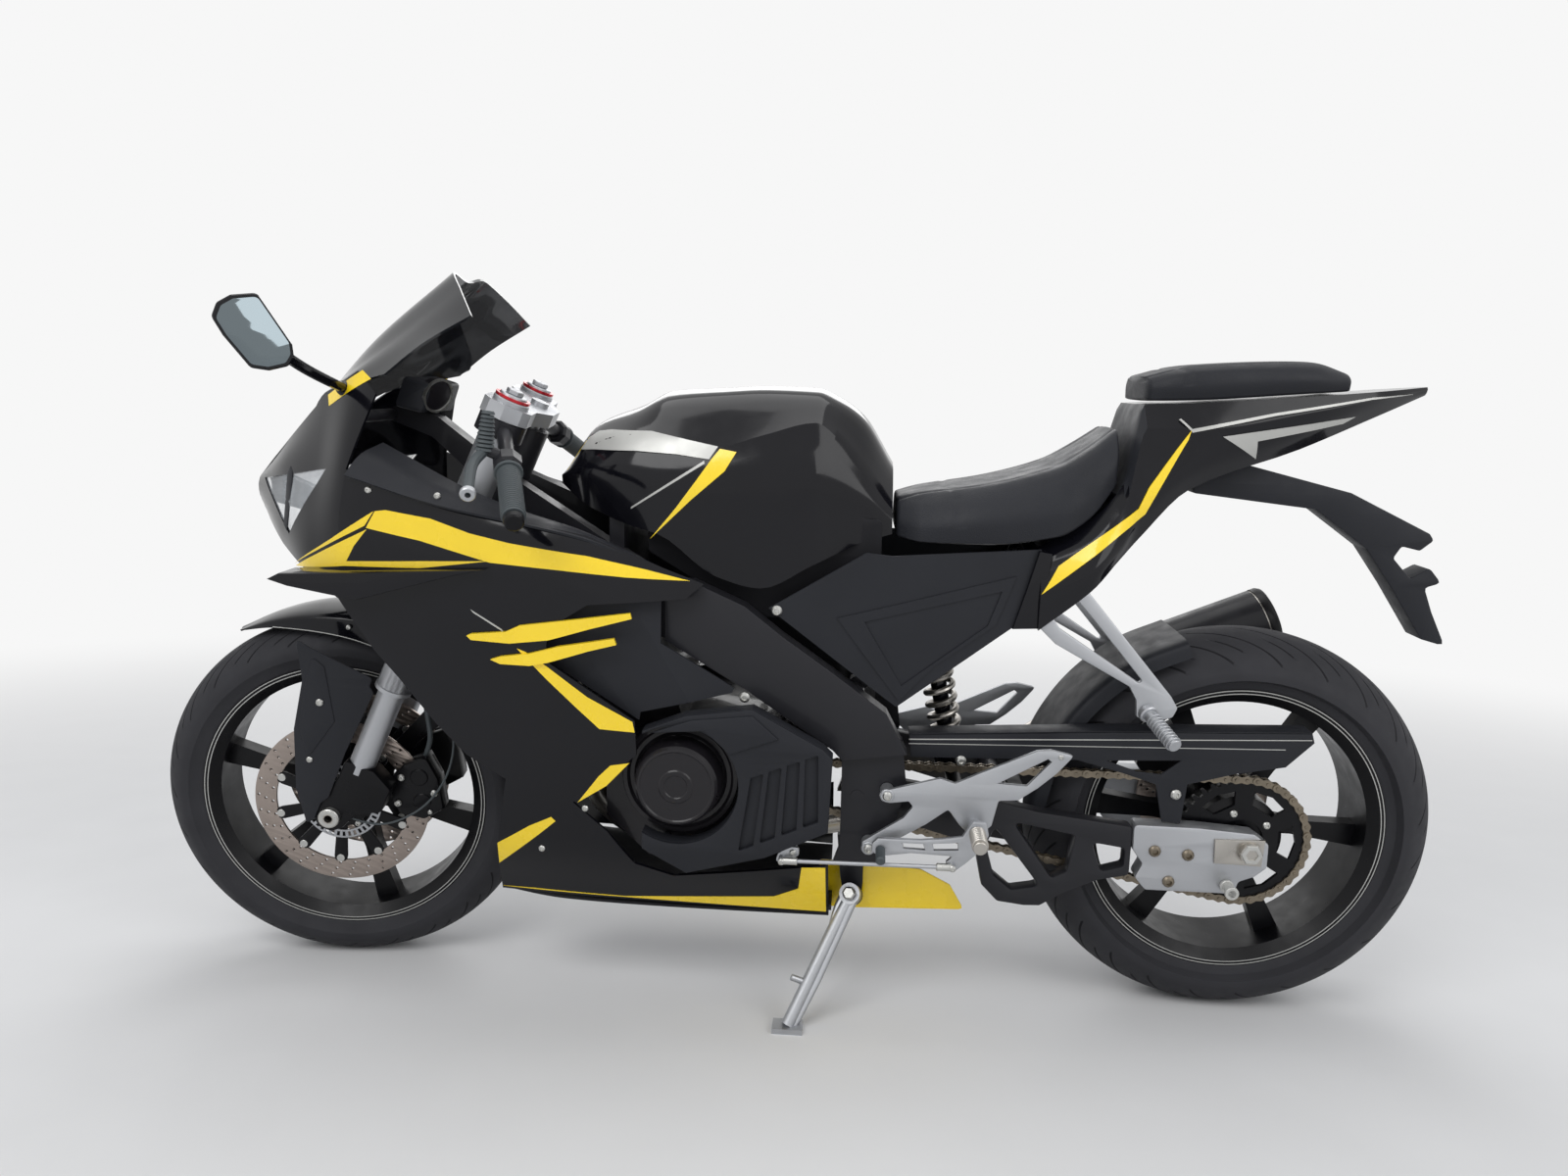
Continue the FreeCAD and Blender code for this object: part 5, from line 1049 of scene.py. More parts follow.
BRACKET = [(96, 850), (96, 832), (-85, 812), (-165, 755), (-208, 697), (-261, 619), (-298, 609),
           (-272, 661), (-257, 698), (-280, 706), (-261, 728), (-234, 712), (-206, 742), (-216, 760),
           (-243, 754), (-261, 770), (-254, 780), (-134, 838), (-85, 850), (20, 876)]
REARSET = [(552, 392), (548, 400), (534, 402), (464, 422), (442, 415), (408, 432), (327, 470),
           (307, 472), (274, 465), (297, 437), (323, 413), (350, 393), (378, 391), (386, 352),
           (400, 338), (420, 338), (434, 352), (450, 374), (482, 349), (551, 305), (565, 296),
           (576, 304), (574, 318), (515, 358), (502, 376), (508, 384), (536, 380), (548, 383)]
HEEL_WINDOW = [(380, 418), (311, 458), (306, 454), (339, 416)]
SHIFT_LEVER = [(552, 334), (490, 334), (461, 337), (430, 342), (416, 366), (396, 366), (392, 346), (404, 320),
               (424, 300), (436, 290), (450, 290), (452, 302), (442, 311), (503, 313), (548, 306), (560, 312),
               (560, 326)]
LEVER_SLOTS = [[(516, 328), (486, 328), (483, 319), (514, 320)],
               [(472, 329), (436, 332), (435, 321), (470, 319)]]
GUARD = [(509, 471), (200, 488), (-75, 497), (-80, 481), (-43, 442), (29, 428), (95, 409),
         (100, 347), (128, 349), (141, 407), (185, 421), (258, 440), (505, 434)]
GUARD_WINDOW = [(215, 441), (107, 446), (135, 423), (171, 426)]
GUARD_TOP = [(509, 471), (200, 488), (-75, 497), (-75, 494), (200, 485), (509, 468)]
GUARD_FOOT = [(316, 345), (340, 345), (340, 354), (316, 356)]
GUARD_FACE = 124
GUARD_LINES = ([(509, 463), (-76, 486), (-76, 484.5), (509, 461)],
               [(509, 456), (-40, 470), (-40, 469), (509, 454.8)])
GUARD_BOLTS = ((111, 393), (430, 432))

# the inner fender: radius about the rear axle, section as (Y, drop) and angles of its rows
HUGGER_RADIUS = 321
HUGGER_SECTION = ((-82, 26), (-80, 8), (-64, 0.5), (0, -1), (64, 0.5), (80, 8), (82, 26))
HUGGER_ANGLES = (6, 20, 33, 46, 59, 72)


def swingarm():
    arm = both_sides(plate([rounded(SWINGARM, 8, 3)] + [rounded(w, 6, 3) for w in ARM_WINDOWS], 131, 26, 4))
    tubes = [across(x, z, -half, half, radius) for x, z, half, radius in ARM_TUBES]
    on_bike("swingarm_casting", united([arm] + tubes), "frame_black", ["swingarm"])


def swingarm_ends():
    ends = plate([rounded(END_PLATE, 7, 3), circle(0, AXLE_HEIGHT, 10.6)], 134, 30, 2.4)
    on_bike("end_plates", both_sides(ends), "silver", ["swingarm_ends"])
    spool = [across(*SPOOL, *rim) for rim in ((130, 162, 6.5), (134, 140, 10), (156, 162, 10))]
    on_bike("paddock_spools", both_sides(united(spool)), "pale")
    adjuster = plate([ADJUSTER, circle(0, AXLE_HEIGHT, 12)], 138, 5, 1.2)
    on_bike("axle_blocks", both_sides(adjuster), "steel")
    bolts = united([bolt_mesh((x, 134, z), 9) for x, z in END_BOLTS])
    on_bike("end_plate_bolts", both_sides(bolts), "chain_steel")
    nut = lathe(AXLE_NUT, 6)
    nut.transform(Matrix.Translation((0, -12, AXLE_HEIGHT)))
    on_bike("axle_nuts", both_sides(nut), "bolt")


def hugger_row(angle):
    """One row of the inner fender, from edge to edge."""
    row = []
    for y, drop in HUGGER_SECTION:
        x, z = polar(HUGGER_RADIUS - drop, angle / 360)
        row.append((x, y, AXLE_HEIGHT + z))
    return row


def rear_guards():
    """Chain guard and inner fender, in one moulding."""
    side = plate([GUARD, GUARD_WINDOW], GUARD_FACE, 3, 0.8)
    top = plate([GUARD_TOP], GUARD_FACE, 36, 0.5)
    hugger = sheet_of([hugger_row(angle) for angle in HUGGER_ANGLES], 3, 4, 6)
    foot = plate([GUARD_FOOT], 30, 60)
    on_bike("chain_guard_shell", united([side, top, hugger, foot]), "black_matte", ["rear_guards"])
    on_bike("guard_lines", united([plate([line], GUARD_FACE + 0.6, 1) for line in GUARD_LINES]), "pale")
    on_bike("guard_bolts", united([bolt_mesh((x, GUARD_FACE, z), 8) for x, z in GUARD_BOLTS]), "bolt")


def passenger_hangers():
    hanger = plate([rounded(HANGER, 4, 2), rounded(HANGER_WINDOW, 4, 2)], 138, 10, 2)
    start, end = REAR_PEG
    run = end - start
    peg = [cylinder(start, end, 9.5), cylinder(start, start + run * 0.14, 14, 14, 24, 2)]
    on_bike("hanger_brackets", both_sides(united([hanger] + peg)), "silver", ["passenger_hangers"])
    rings = ribs(start, run, [0.26 + 0.08 * i for i in range(9)], 0.045, 11.5, 16, 0.6)
    on_bike("rear_peg_ribs", both_sides(united(rings)), "silver")


def plate_bracket():
    on_bike("bracket_blade", plate([rounded(BRACKET, 5, 2)], 24, 48, 2.5), "black_matte", ["plate_bracket"])


SHOCK = (Vector((430, 0, 368)), Vector((478, 0, 618)))
SPRING = {"turns": 7, "steps": 28, "from": 0.24, "share": 0.56, "radius": 22, "wire": 5}


def rear_shock():
    """Damper, open spring and its two cups between the frame's tube and the swingarm's."""
    low, high = SHOCK
    run = high - low
    cups = [cylinder(low + run * a, low + run * b, 26) for a, b in ((0.06, 0.22), (0.8, 0.94))]
    rod = cylinder(low + run * 0.2, low + run * 0.82, 13)
    on_bike("shock_body", united(cups + [rod]), "black_gloss", ["rear_shock"])
    side = Vector((0, 1, 0))
    out = run.normalized().cross(side)
    count = SPRING["turns"] * SPRING["steps"]
    coil = []
    for i in range(count + 1):
        a, b = polar(SPRING["radius"], i / SPRING["steps"])
        coil.append(low + run * (SPRING["from"] + SPRING["share"] * i / count) + side * a + out * b)
    on_bike("shock_spring", pipe(coil, SPRING["wire"], 8), "steel")


REARSET_FACE = 176
PEG_AT = (410, 352)
REARSET_POSTS = ((540, 392, 149.6, 178, 10), (565, 308, 149.6, 178, 10), (*PEG_AT, 168, 204, 10))
LINK_RODS = ((443, 297, 190, 208, 5), (692, 295, 190, 208, 5), (676, 304, 78.6, 194, 5))
LINK_ARM = [(702, 288), (698, 301), (682, 312), (667, 312), (667, 300), (684, 287)]
FOOT_BOLTS = (((540, 178, 392), 7), ((565, 178, 308), 7), ((293, REARSET_FACE, 462), 4))
LINK_BOLTS = (((443, 208, 297), 5), ((692, 208, 295), 5), ((676, 194, 304), 5))


def rearsets():
    base = plate([rounded(REARSET, 4, 2), HEEL_WINDOW], REARSET_FACE, 8, 1.8)
    lever = plate([rounded(SHIFT_LEVER, 3, 2)] + LEVER_SLOTS, 198, 8, 1.8)
    posts = [across(*post) for post in REARSET_POSTS]
    link = [across(*rod) for rod in LINK_RODS]
    link += [cylinder((448, 204, 297), (688, 204, 295), 3), plate([rounded(LINK_ARM, 4, 2)], 194, 6)]
    castings = united([both_sides(united([base, lever] + posts))] + link)
    on_bike("rearset_castings", castings, "silver", ["rearsets"])
    on_bike("foot_control_bolts", both_sides(united([bolt_mesh(*bolt) for bolt in FOOT_BOLTS])), "bolt")


def shift_linkage():
    joints = [cylinder((x, 204, z), (x + 23, 204, z), 5.5) for x, z in ((443, 297), (669, 295))]
    on_bike("linkage_joints", united(joints), "bolt")
    on_bike("linkage_bolts", united([bolt_mesh(*bolt) for bolt in LINK_BOLTS]), "bolt")


def foot_pegs():
    x, z = PEG_AT
    grooves = [across(x, z - 0.05 * k, 206 + k, 210 + k, 12, 12, 20, 0.9) for k in range(0, 38, 5)]
    core = cylinder((x, 200, z), (x, 248, z - 4), 10)
    on_bike("rider_pegs", both_sides(united(grooves + [core])), "steel")
    on_bike("shift_pads", both_sides(cylinder((548, 198, 318), (548, 232, 314), 7, 7, 24, 2)), "rubber")


CHAIN = {"teeth": 39, "radius": 98, "small": 36, "front": (652, 372), "line": 93}
LINK_PLATE = {"radius": 6.4, "waist": 4.2, "wall": 1.6, "outer": 6.1, "inner": 4.5}


def chain_run():
    """Pins of the chain one pitch apart round both sprockets."""
    rear = Vector((0, AXLE_HEIGHT))
    front = Vector(CHAIN["front"])
    big, small = CHAIN["radius"], CHAIN["small"]
    run = front - rear
    slope = math.atan2(run.y, run.x)
    spread = math.asin((big - small) / run.length)
    straight = run.length * math.cos(spread)
    high = slope + math.pi / 2 - spread
    rear_arc = math.pi + 2 * spread
    spans = [big * rear_arc, straight, small * (math.pi - 2 * spread), straight]
    pitch = 2 * big * math.sin(math.pi / CHAIN["teeth"])
    count = 2 * round(sum(spans) / pitch / 2)
    pins = []
    for i in range(count):
        along = sum(spans) * i / count
        if along < spans[0]:
            a, base, extra = high + along / big, (rear, big), 0
        elif along < sum(spans[:2]):
            a, base, extra = high + rear_arc, (rear, big), along - spans[0]
        elif along < sum(spans[:3]):
            a, base, extra = high + rear_arc + (along - sum(spans[:2])) / small, (front, small), 0
        else:
            a, base, extra = high, (front, small), along - sum(spans[:3])
        out = Vector((math.cos(a), math.sin(a)))
        pins.append(base[0] + out * base[1] + Vector((-out.y, out.x)) * extra)
    return pins


def link_outline(pin, after):
    """Waisted outline of a link's plates from one pin to the next."""
    run = after - pin
    radius, waist = LINK_PLATE["radius"], LINK_PLATE["waist"]
    ends = []
    for x, start in ((0, 70), (run.length, -110)):
        ends.append([(x + a, b) for a, b in (polar(radius, (start + 20 * k) / 360) for k in range(11))])
    outline = ends[0] + [(run.length / 2, -waist)] + ends[1] + [(run.length / 2, waist)]
    cos, sin = run.normalized()
    return [(pin.x + x * cos - z * sin, pin.y + x * sin + z * cos) for x, z in outline]


def chain():
    """Rollers and pins, joined by inner and outer plates in turn."""
    line = CHAIN["line"]
    pins = chain_run()
    links = []
    for i, pin in enumerate(pins):
        outline = link_outline(pin, pins[(i + 1) % len(pins)])
        outer = LINK_PLATE["outer" if i % 2 else "inner"]
        wall = LINK_PLATE["wall"]
        for y in (line + outer, line - outer + wall):
            links.append(skin([[(x, y, z) for x, z in outline], [(x, y - wall, z) for x, z in outline]]))
        links.append(across(pin.x, pin.y, line - 7.4, line + 7.4, 2.4, 2.4, 8, 0.4))
        links.append(across(pin.x, pin.y, line - 3, line + 3, 4.6, 4.6, 10, 0.1))
    on_bike("chain_links", united(links), "chain_steel", ["chain"])


STAND_AT = Vector((589, 118, 203))
STAND_AXIS = unit((0.138, 0.855, 0.5))
STAND_FOOT = Vector((678, 212, 22))

# share of the leg's length, half width, half thickness and forward bow
STAND_LEG = ((0, 15, 7, 0), (0.12, 15, 7, 0), (0.3, 12, 6, 3), (0.62, 10, 5.5, 5),
             (0.9, 9, 5.5, 3), (1.0, 9, 5.5, 0))
STAND_SECTION = ((-1, -0.5), (-0.8, -1), (0.8, -1), (1, -0.5), (1, 0.5), (0.8, 1), (-0.8, 1), (-1, 0.5))


def side_stand():
    """Flat silver leg on its eye, with a stub to push it down."""
    pole = (STAND_FOOT - STAND_AT).normalized()
    wide = STAND_AXIS.cross(pole).normalized()
    thick = pole.cross(wide).normalized()
    rings = []
    for share, w, t, bow in STAND_LEG:
        middle = STAND_AT.lerp(STAND_FOOT, share) + wide * bow
        rings.append([middle + wide * a * w + thick * b * t for a, b in STAND_SECTION])
    leg = evaluated(skin(rings), ("BEVEL", {"width": 1.2, "segments": 2, "limit_method": "ANGLE"}))
    eye = cylinder(STAND_AT - STAND_AXIS * 11, STAND_AT + STAND_AXIS * 11, 16)
    stub_at = STAND_AT.lerp(STAND_FOOT, 0.66)
    stub = cylinder(stub_at, stub_at + thick * 4 + wide * -30 + Vector((0, 8, 0)), 5)
    place("stand_leg_bar", united([leg, eye, stub]), BIKE, "side_stand", "silver")


def stand_bolt():
    at = STAND_AT + STAND_AXIS * 17.2
    on_bike("stand_bolt_cap", cylinder(at, at + STAND_AXIS * 5, 11, 9, 6, 1), "bolt")


# Front end, in the frame of the fork

FOOT = [(13.5, 300.7), (26.7, 287.5), (48.3, 287.5), (61.5, 300.7), (61.5, 326), (49, 383.5), (49, 412),
        (1, 412), (-32.6, 393), (-32.6, 350), (1, 331)]
CALIPER = [(-38, 355), (-19, 384), (-31, 421), (-59, 448), (-91, 420), (-118, 374), (-96, 345), (-57, 338)]
LEG_GUARD = [(183, 573), (161, 568), (56, 560), (56, 546), (46, 538), (52, 426), (50, 345),
             (58, 330), (58, 300), (66, 288), (101, 338), (137, 432), (152, 514)]
GUARD_FACET = [(150, 556), (128, 548), (84, 470), (101, 395), (131, 440), (146, 514)]
GUARD_BOLT_SPOTS = (((115, 125.4, 491), 6), ((98, 124, 394), 5), ((128, 71, 600), 4))
CALIPER_BRIDGE = [(-59, 448), (-91, 420), (-118, 374), (-108, 366), (-84, 404), (-54, 432)]
PISTONS = ((-62, 412), (-82, 374))
CALIPER_BOLTS = ((-36, 400, 6), (-47, 356, 6), (-94, 396, 6), (-100, 362, 4))
SENSOR_CABLE = [(45, 104, 347), (30, 112, 322), (-8, 110, 316), (-53, 104, 327), (-98, 96, 385),
                (-105, 92, 473), (-60, 90, 560), (-24, 92, 660)]
TUBE_COLLARS = [(546, 28.4), (552, 28.4), (553, 27), (592, 27), (592.5, 26), (596, 26), (596.5, 27)]
CAP_RING = [(1042, 21.5), (1046, 21.5), (1046, 26), (1042, 26)]
AXLE_CAP = [(120, 10.6), (120, 17), (127, 16), (128.5, 14), (128.5, 8.5), (124, 7), (112, 6.6)]
CLIP_ON = [(984, 28), (984, 36), (1010, 36), (1010, 28)]
GRIP_END = Vector((-71, 332, 936))
BAR_START = Vector((17, 120, 999))
BAR_RUN = (GRIP_END - BAR_START).normalized()
GRIP_START = GRIP_END - BAR_RUN * 118
PERCH = GRIP_START - BAR_RUN * 20
LEVER_START = PERCH + Vector((36, 0, 4))
LEVER_END = GRIP_END + Vector((68, -12, 6))

# angle about the front axle, share of the full width and share of the full depth
FENDER_ROWS = [(36, 0.2, 0.1), (48, 0.62, 0.45), (62, 0.86, 0.8), (80, 1.0, 1.1), (100, 1.0, 1.4),
               (118, 1.0, 1.3), (134, 0.95, 0.9)]
FENDER = {"radius": 322, "half": 70, "depth": 38}


def fender_ring(angle, width, depth, lift=0.0):
    """One row of the fender's arch, from edge to edge."""
    half = FENDER["half"] * width + lift
    drop = FENDER["depth"] * depth
    side = [(half, drop), (half, 12 * width), (0.6 * half, 2)]
    section = [(-y, d) for y, d in side] + [(0, 0)] + side[::-1]
    x, z = polar(1, angle / 360)
    reach = FENDER["radius"] + lift
    return [(FORK_AXLE[0] + (reach - d) * x, y, FORK_AXLE[1] + (reach - d) * z) for y, d in section]


def fender():
    arch = sheet_of([fender_ring(*row) for row in FENDER_ROWS], 3, 5, 8)
    tabs = [across(25, 596, sign * 68, sign * 72.7, 14) for sign in (1, -1)]
    on_fork("fender_arch", united([arch] + tabs), "black_gloss", ["front_fender"], angle=40)
    edge = [Vector(fender_ring(*row, lift=0.6)[-1]) + Vector((0, 0, 1)) for row in FENDER_ROWS[1:]]
    on_fork("fender_edge_line", both_sides(pipe(edge, 0.9, 8)), "pale")


def leg_guards():
    guard = plate([rounded(LEG_GUARD, 5, 2)], 124, 3.2, 1.2)
    facet = plate([rounded(GUARD_FACET, 5, 2)], 125.4, 2.4, 1.1)
    on_fork("leg_guards", both_sides(united([guard, facet])), "black_matte")
    bolts = united([bolt_mesh(*bolt) for bolt in GUARD_BOLT_SPOTS])
    on_fork("leg_guard_bolts", both_sides(bolts), "bolt")


def tube_rod(low, high, radius, end_radius, segments, edge):
    """An upright rod on the middle line of the left fork tube."""
    start, end = [(FORK_OFFSET, FORK_SPREAD, height) for height in (low, high)]
    return cylinder(start, end, radius, end_radius, segments, edge)


def fork_legs():
    on_fork("stanchions", both_sides(tube_rod(395, 548, 20.5, 20.5, 48, 1)), "silver", ["fork_legs"])
    foot = plate([rounded(FOOT, 7, 3), circle(*FORK_AXLE, 10.4)], 120, 38, 3)
    on_fork("fork_feet", both_sides(foot), "rim_black")
    axle = lathe(AXLE_CAP, 48, closed=False)
    axle.transform(Matrix.Translation((FORK_AXLE[0], 0, FORK_AXLE[1])))
    on_fork("axle_caps", both_sides(axle), "bolt")


def fork_tubes():
    at = (FORK_OFFSET, FORK_SPREAD)
    tube = [tube_rod(546, 1042, 27, 27, 64, 2), lathe_up(at, TUBE_COLLARS),
            tube_rod(1042, 1049, 21, 20, 32, 1), tube_rod(1049, 1056, 13, 13, 6, 1)]
    on_fork("outer_tubes", both_sides(united(tube)), "silver", ["fork_tubes"])
    on_fork("cap_rings", both_sides(lathe_up(at, CAP_RING, closed=True)), "red_cap")


def calipers():
    halves = [plate([rounded(CALIPER, 8, 3)], outer, 16, 4) for outer in (81.5, 58)]
    bridge = plate([CALIPER_BRIDGE], 78, 34, 2)
    pistons = [across(x, z, 80, 83.4, 15, 14, 32, 1.5) for x, z in PISTONS]
    body = both_sides(united(halves + [bridge] + pistons))
    on_fork("caliper_bodies", body, "rim_black", ["front_calipers"])
    bolts = united([bolt_mesh((x, 82, z), r) for x, z, r in CALIPER_BOLTS])
    on_fork("caliper_bolts", both_sides(bolts), "bolt")
    on_fork("sensor_cable", pipe(SENSOR_CABLE, 1.8, 6), "rubber")


def grips():
    sleeves = ribs(GRIP_START, BAR_RUN, range(6, 108, 5), 3.4, 16.5, 24, 0.8)
    core = cylinder(GRIP_START, GRIP_END - BAR_RUN * 4, 15.3, 15.3, 32)
    flange = cylinder(GRIP_START, GRIP_START + BAR_RUN * 5, 20, 20, 32, 1.5)
    on_fork("grip_sleeves", both_sides(united(sleeves + [core, flange])), "rubber", ["grips"])
    weight = cylinder(GRIP_END - BAR_RUN * 2, GRIP_END + BAR_RUN * 9, 14, 13, 32, 2)
    on_fork("bar_ends", both_sides(weight), "rim_black")


def clip_ons():
    clip = lathe_up((FORK_OFFSET, FORK_SPREAD), CLIP_ON, closed=True)
    bar = cylinder(BAR_START, GRIP_END - BAR_RUN * 8, 11)
    housing = cylinder(PERCH - BAR_RUN * 14, PERCH + BAR_RUN * 14, 21, 21, 8, 4)
    neck = cylinder(PERCH + Vector((0, 0, 8)), PERCH + Vector((36, 0, 6)), 9, 8, 12, 2)
    on_fork("clip_ons", both_sides(united([clip, bar, housing, neck])), "frame_black", ["hand_controls"])


def levers():
    """Bent levers with a ball at the end, and the ribbed boots at their roots."""
    middle = LEVER_START.lerp(LEVER_END, 0.5) + Vector((8, 0, -3))
    root = LEVER_START.lerp(middle, 0.5) + Vector((3, 0, 0))
    on_fork("levers", both_sides(pipe([LEVER_START, root, middle, LEVER_END], 7.5, 12)), "rubber")
    ball = lathe([(0, 4), (0, 9), (2, 10.5), (7, 10.5), (9, 9), (9, 4)], 32)
    ball.transform(turned(LEVER_END - middle, LEVER_END))
    on_fork("lever_ends", both_sides(ball), "silver")
    fold = PERCH + Vector((52, -4, 58)) - LEVER_START
    boot = []
    for k in (i / 10 for i in range(10)):
        start, end = LEVER_START + fold * k, LEVER_START + fold * (k + 0.08)
        boot.append(cylinder(start, end, 14 - 5 * k, 12.6 - 5 * k, 20, 0.8))
    on_fork("lever_boots", both_sides(united(boot)), "rubber")


MIRROR = [(49, 18), (42, 35), (26, 45), (-4, 49), (-40, -12), (-41, -28), (-34, -40), (-11, -46),
          (10, -43), (38, -4)]
MIRROR_AT = Matrix.Translation((1352, 338, 1034)) @ Matrix.Rotation(math.radians(37), 4, "Z")
MIRROR_CASE = ((0, 0.97), (-2, 1.0), (-10, 0.98), (-22, 0.82), (-29, 0.5), (-30, 0.1))
MIRROR_STEM = [(1350, 120, 963), (1350, 170, 975), (1350, 235, 992), (1351, 290, 1012), (1352, 322, 1030)]


def mirrors():
    soft = rounded(MIRROR, 9, 4)
    case = skin([[(x * scale, depth, z * scale) for x, z in soft] for depth, scale in MIRROR_CASE])
    pane = plate([[(x * 0.9, z * 0.9) for x, z in soft]], 0.8, 1.4, 0.3)
    case.transform(MIRROR_AT)
    pane.transform(MIRROR_AT)
    stem = pipe(MIRROR_STEM, 7.5, 8)
    foot = cylinder((1350, 104, 957), (1350, 132, 966), 14, 11, 24, 3)
    knuckle = cylinder((1351, 306, 1016), (1352, 326, 1032), 11, 9, 20, 3)
    on_bike("mirror_cases", both_sides(united([case, stem, foot, knuckle])), "black_gloss", ["mirrors"])
    on_bike("mirror_panes", both_sides(pane), "mirror")
    bolts = united([bolt_mesh((x, 121, 968), 4, (0, 0.4, 1)) for x in (1342, 1358)])
    on_bike("mirror_bolts", both_sides(bolts), "bolt")


# Cockpit, silencer and fasteners

DASH = [(1306, 938), (1262, 928), (1246, 972), (1288, 984)]
COCKPIT_ROWS = (((1320, 203, 846), (1306, 176, 874), (1290, 138, 888)),
                ((1183, 214, 808), (1172, 182, 822), (1160, 146, 823)),
                ((1060, 210, 784), (1068, 180, 792), (1076, 150, 793)),
                ((976, 201, 764), (988, 178, 772), (1000, 156, 772)),
                ((840, 180, 706), (870, 164, 718), (900, 148, 726)))
GAUGE_TURN = Matrix.Rotation(math.radians(62), 4, "Z") @ Matrix.Rotation(math.radians(-20), 4, "X")
GAUGE_AT = Matrix.Translation((1244, 40, 954)) @ GAUGE_TURN
GAUGE = [(0, 0), (0, 20), (-1, 24), (-3, 26), (-16, 24), (-20, 10), (-20, 0)]
GAUGE_RIM = [(-1.5, 23), (1.5, 24), (1.5, 27), (-3, 27)]
SILENCER = (Vector((96, -190, 512)), Vector((-116, -190, 602)))
SILENCER_CAP = [(0, 53.4), (10, 53.4), (16, 50), (18, 44), (16, 38), (6, 34), (-30, 33)]
LAMP_BAR = [(1452, 847), (1444, 838), (1452, 752), (1462, 760), (1458, 836)]
HULL_BOLTS = [(1287, 825), (1187, 819), (986, 359), (1059, 283)]
FLAT_BOLTS = [(709, 150.6, 659), (753, 166, 531), (561, 153, 477), (584, 138.5, 378)]


def cockpit():
    trim = both_sides(sheet_of(COCKPIT_ROWS, 3.5, 4, 5))
    on_bike("cockpit_trim", united([plate([rounded(DASH, 7, 3)], 62, 124, 5), trim]), "black_matte",
            ["cockpit_panels"])
    for name, mesh, look in (("gauge_face", lathe(GAUGE, 64, closed=False), "engine_grey"),
                             ("gauge_rim", lathe(GAUGE_RIM, 64), "bolt")):
        mesh.transform(GAUGE_AT)
        on_bike(name, mesh, look)


def silencer():
    start, end = SILENCER
    run = (end - start).normalized()
    face = end - run * 14
    on_bike("silencer_sleeve", cylinder(start + run * 4, face, 53, 53, 64, 3), "frame_black")
    for name, mesh, look in (("silencer_cap", lathe(SILENCER_CAP, 64, closed=False), "rim_black"),
                             # the dark disc that closes the mouth is painted shade of the silencer's hollow
                             ("silencer_mouth_shade", across(0, 0, 3, 6, 34), "inside")):
        mesh.transform(turned(run, face))
        on_bike(name, mesh, look)


def lamp_divider():
    """Dark bar that parts the two lamps of a side, laid on the hull."""
    bar = plate([LAMP_BAR], 0, 3, 0.5)
    for vert in bar.vertices:
        x, y, z = vert.co
        vert.co = (x, hull(x, z) + 0.8 + y, z)
    on_bike("lamp_dividers", both_sides(bar), "black_matte")


def fasteners():
    heads = [bolt_mesh((x, hull(x, z) + 0.6, z), 5) for x, z in HULL_BOLTS]
    heads += [bolt_mesh(spot, 8) for spot in FLAT_BOLTS]
    on_bike("panel_bolts", both_sides(united(heads)), "bolt")


# Stage, in metres; a lamp's row holds its place, aim, width, height and watts

LAMPS = {
    "key": ((1.6, 3.0, 3.4), (0.1, 0, 0.5), 2.6, 2.0, 78),
    "fill": ((-2.6, 2.4, 2.2), (0, 0, 0.5), 2.4, 2.4, 42),
    "top": ((0, -0.4, 3.6), (0, 0, 0.4), 3.2, 1.6, 30),
    "back": ((0.4, -3.4, 2.6), (0, 0, 0.6), 3.0, 1.6, 30),
}
PAPER_WHITE = (0.93, 0.93, 0.93, 1)
SKY_LIGHT = (0.39, 0.4, 0.42, 1)
FLOOR_HALF = 30
FADE = {"From Min": 1.3, "From Max": 5.0}


def area_light(name, at, aim, width, height, watts):
    """A flat lamp at a place, turned to what it lights."""
    data = bpy.data.lights.new(name, "AREA")
    data.shape = "RECTANGLE"
    data.size = width
    data.size_y = height
    data.energy = watts
    lamp = bpy.data.objects.new(name, data)
    run = Vector(aim) - Vector(at)
    lamp.matrix_world = Matrix.Translation(at) @ run.to_track_quat("-Z", "Y").to_matrix().to_4x4()
    bpy.context.scene.collection.objects.link(lamp)


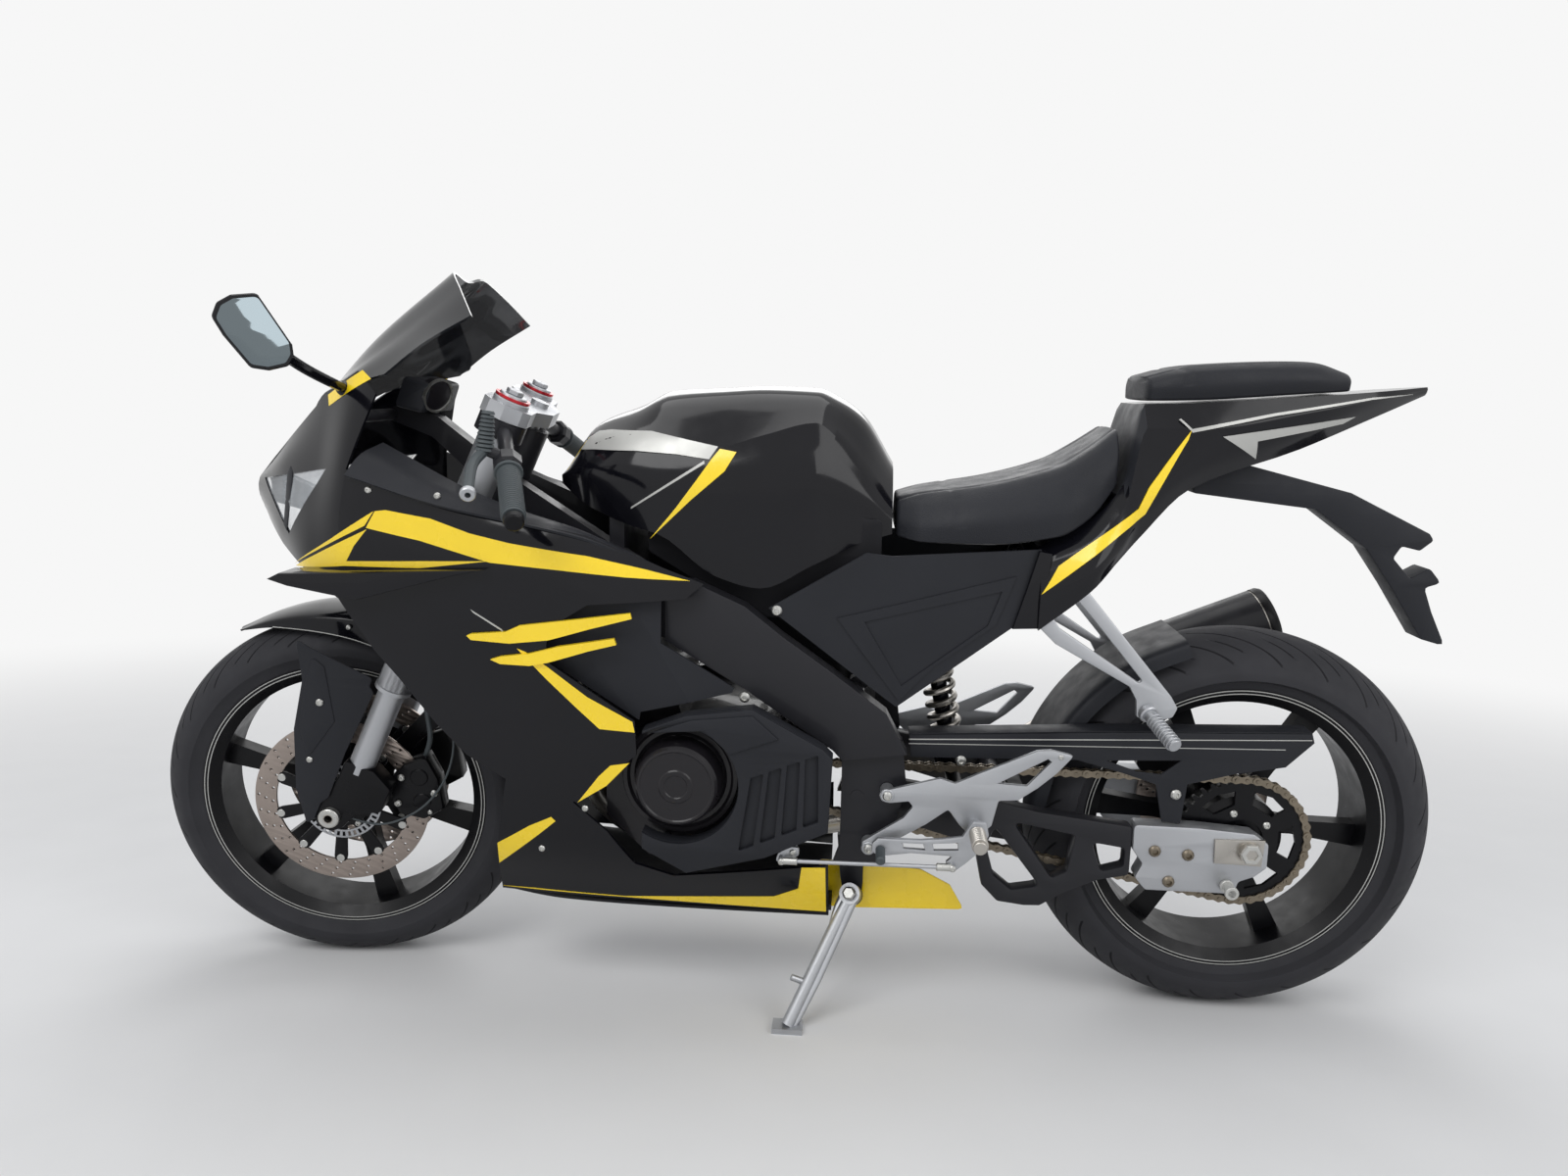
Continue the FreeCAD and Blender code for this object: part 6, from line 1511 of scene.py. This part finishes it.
def floor():
    """Paper floor that fades into the backdrop's white."""
    bm = bmesh.new()
    bmesh.ops.create_grid(bm, x_segments=2, y_segments=2, size=FLOOR_HALF)
    material, tree, shader = nodes_of("floor_paper")
    paper = tinted(tree, noise_at(tree, 6), (0.74, 0.74, 0.74), (0.78, 0.78, 0.78))
    wire(tree, shader, {"Roughness": 0.75}, {"Base Color": paper})
    place_at = add_node(tree, "TexCoord", {}, {}).outputs["Object"]
    reach = add_node(tree, "VectorMath", {}, {0: place_at}, operation="LENGTH").outputs["Value"]
    fade = add_node(tree, "MapRange", FADE, {"Value": reach}, interpolation_type="SMOOTHSTEP")
    glow = add_node(tree, "Emission", {"Color": PAPER_WHITE}, {})
    mix = add_node(tree, "MixShader", {}, {"Fac": fade.outputs["Result"], 1: shader.outputs["BSDF"],
                                           2: glow.outputs["Emission"]})
    tree.links.new(mix.outputs["Shader"], tree.nodes["Material Output"].inputs["Surface"])
    mesh = mesh_from(bm, "floor")
    mesh.materials.append(material)
    sheet = bpy.data.objects.new("floor", mesh)
    bpy.context.scene.collection.objects.link(sheet)


def sky():
    """Even soft light, with white where the camera or a reflection sees it."""
    world = bpy.data.worlds.new("studio")
    world.use_nodes = True
    tree = world.node_tree
    path = add_node(tree, "LightPath", {}, {})
    seen = path.outputs["Is Camera Ray"]
    for ray in ("Is Glossy Ray", "Is Transmission Ray"):
        seen = add_node(tree, "Math", {}, {0: seen, 1: path.outputs[ray]}, operation="MAXIMUM").outputs[0]
    blend = add_node(tree, "Mix", {"A": SKY_LIGHT, "B": PAPER_WHITE}, {"Factor": seen}, data_type="RGBA")
    tree.links.new(blend.outputs["Result"], tree.nodes["Background"].inputs["Color"])
    bpy.context.scene.world = world
    bpy.context.scene.view_settings.view_transform = "Standard"


def stage():
    floor()
    for name, lamp in LAMPS.items():
        area_light(name, *lamp)
    sky()


for build in (make_camera, stage, dress_nodes, nose, fairing, belly_pan, fuel_tank, tail_cowl, seats,
              tank_gap_shade, windscreen, tyres, rim_lines, front_discs, rear_disc, engine_covers,
              engine_shrouds, side_panels, blades, swingarm, swingarm_ends, rear_guards, passenger_hangers,
              plate_bracket, rear_shock, rearsets, shift_linkage, foot_pegs, chain, side_stand, stand_bolt,
              fender, leg_guards, fork_legs, fork_tubes, calipers, grips, clip_ons, levers, mirrors,
              cockpit, silencer, lamp_divider, fasteners):
    build()
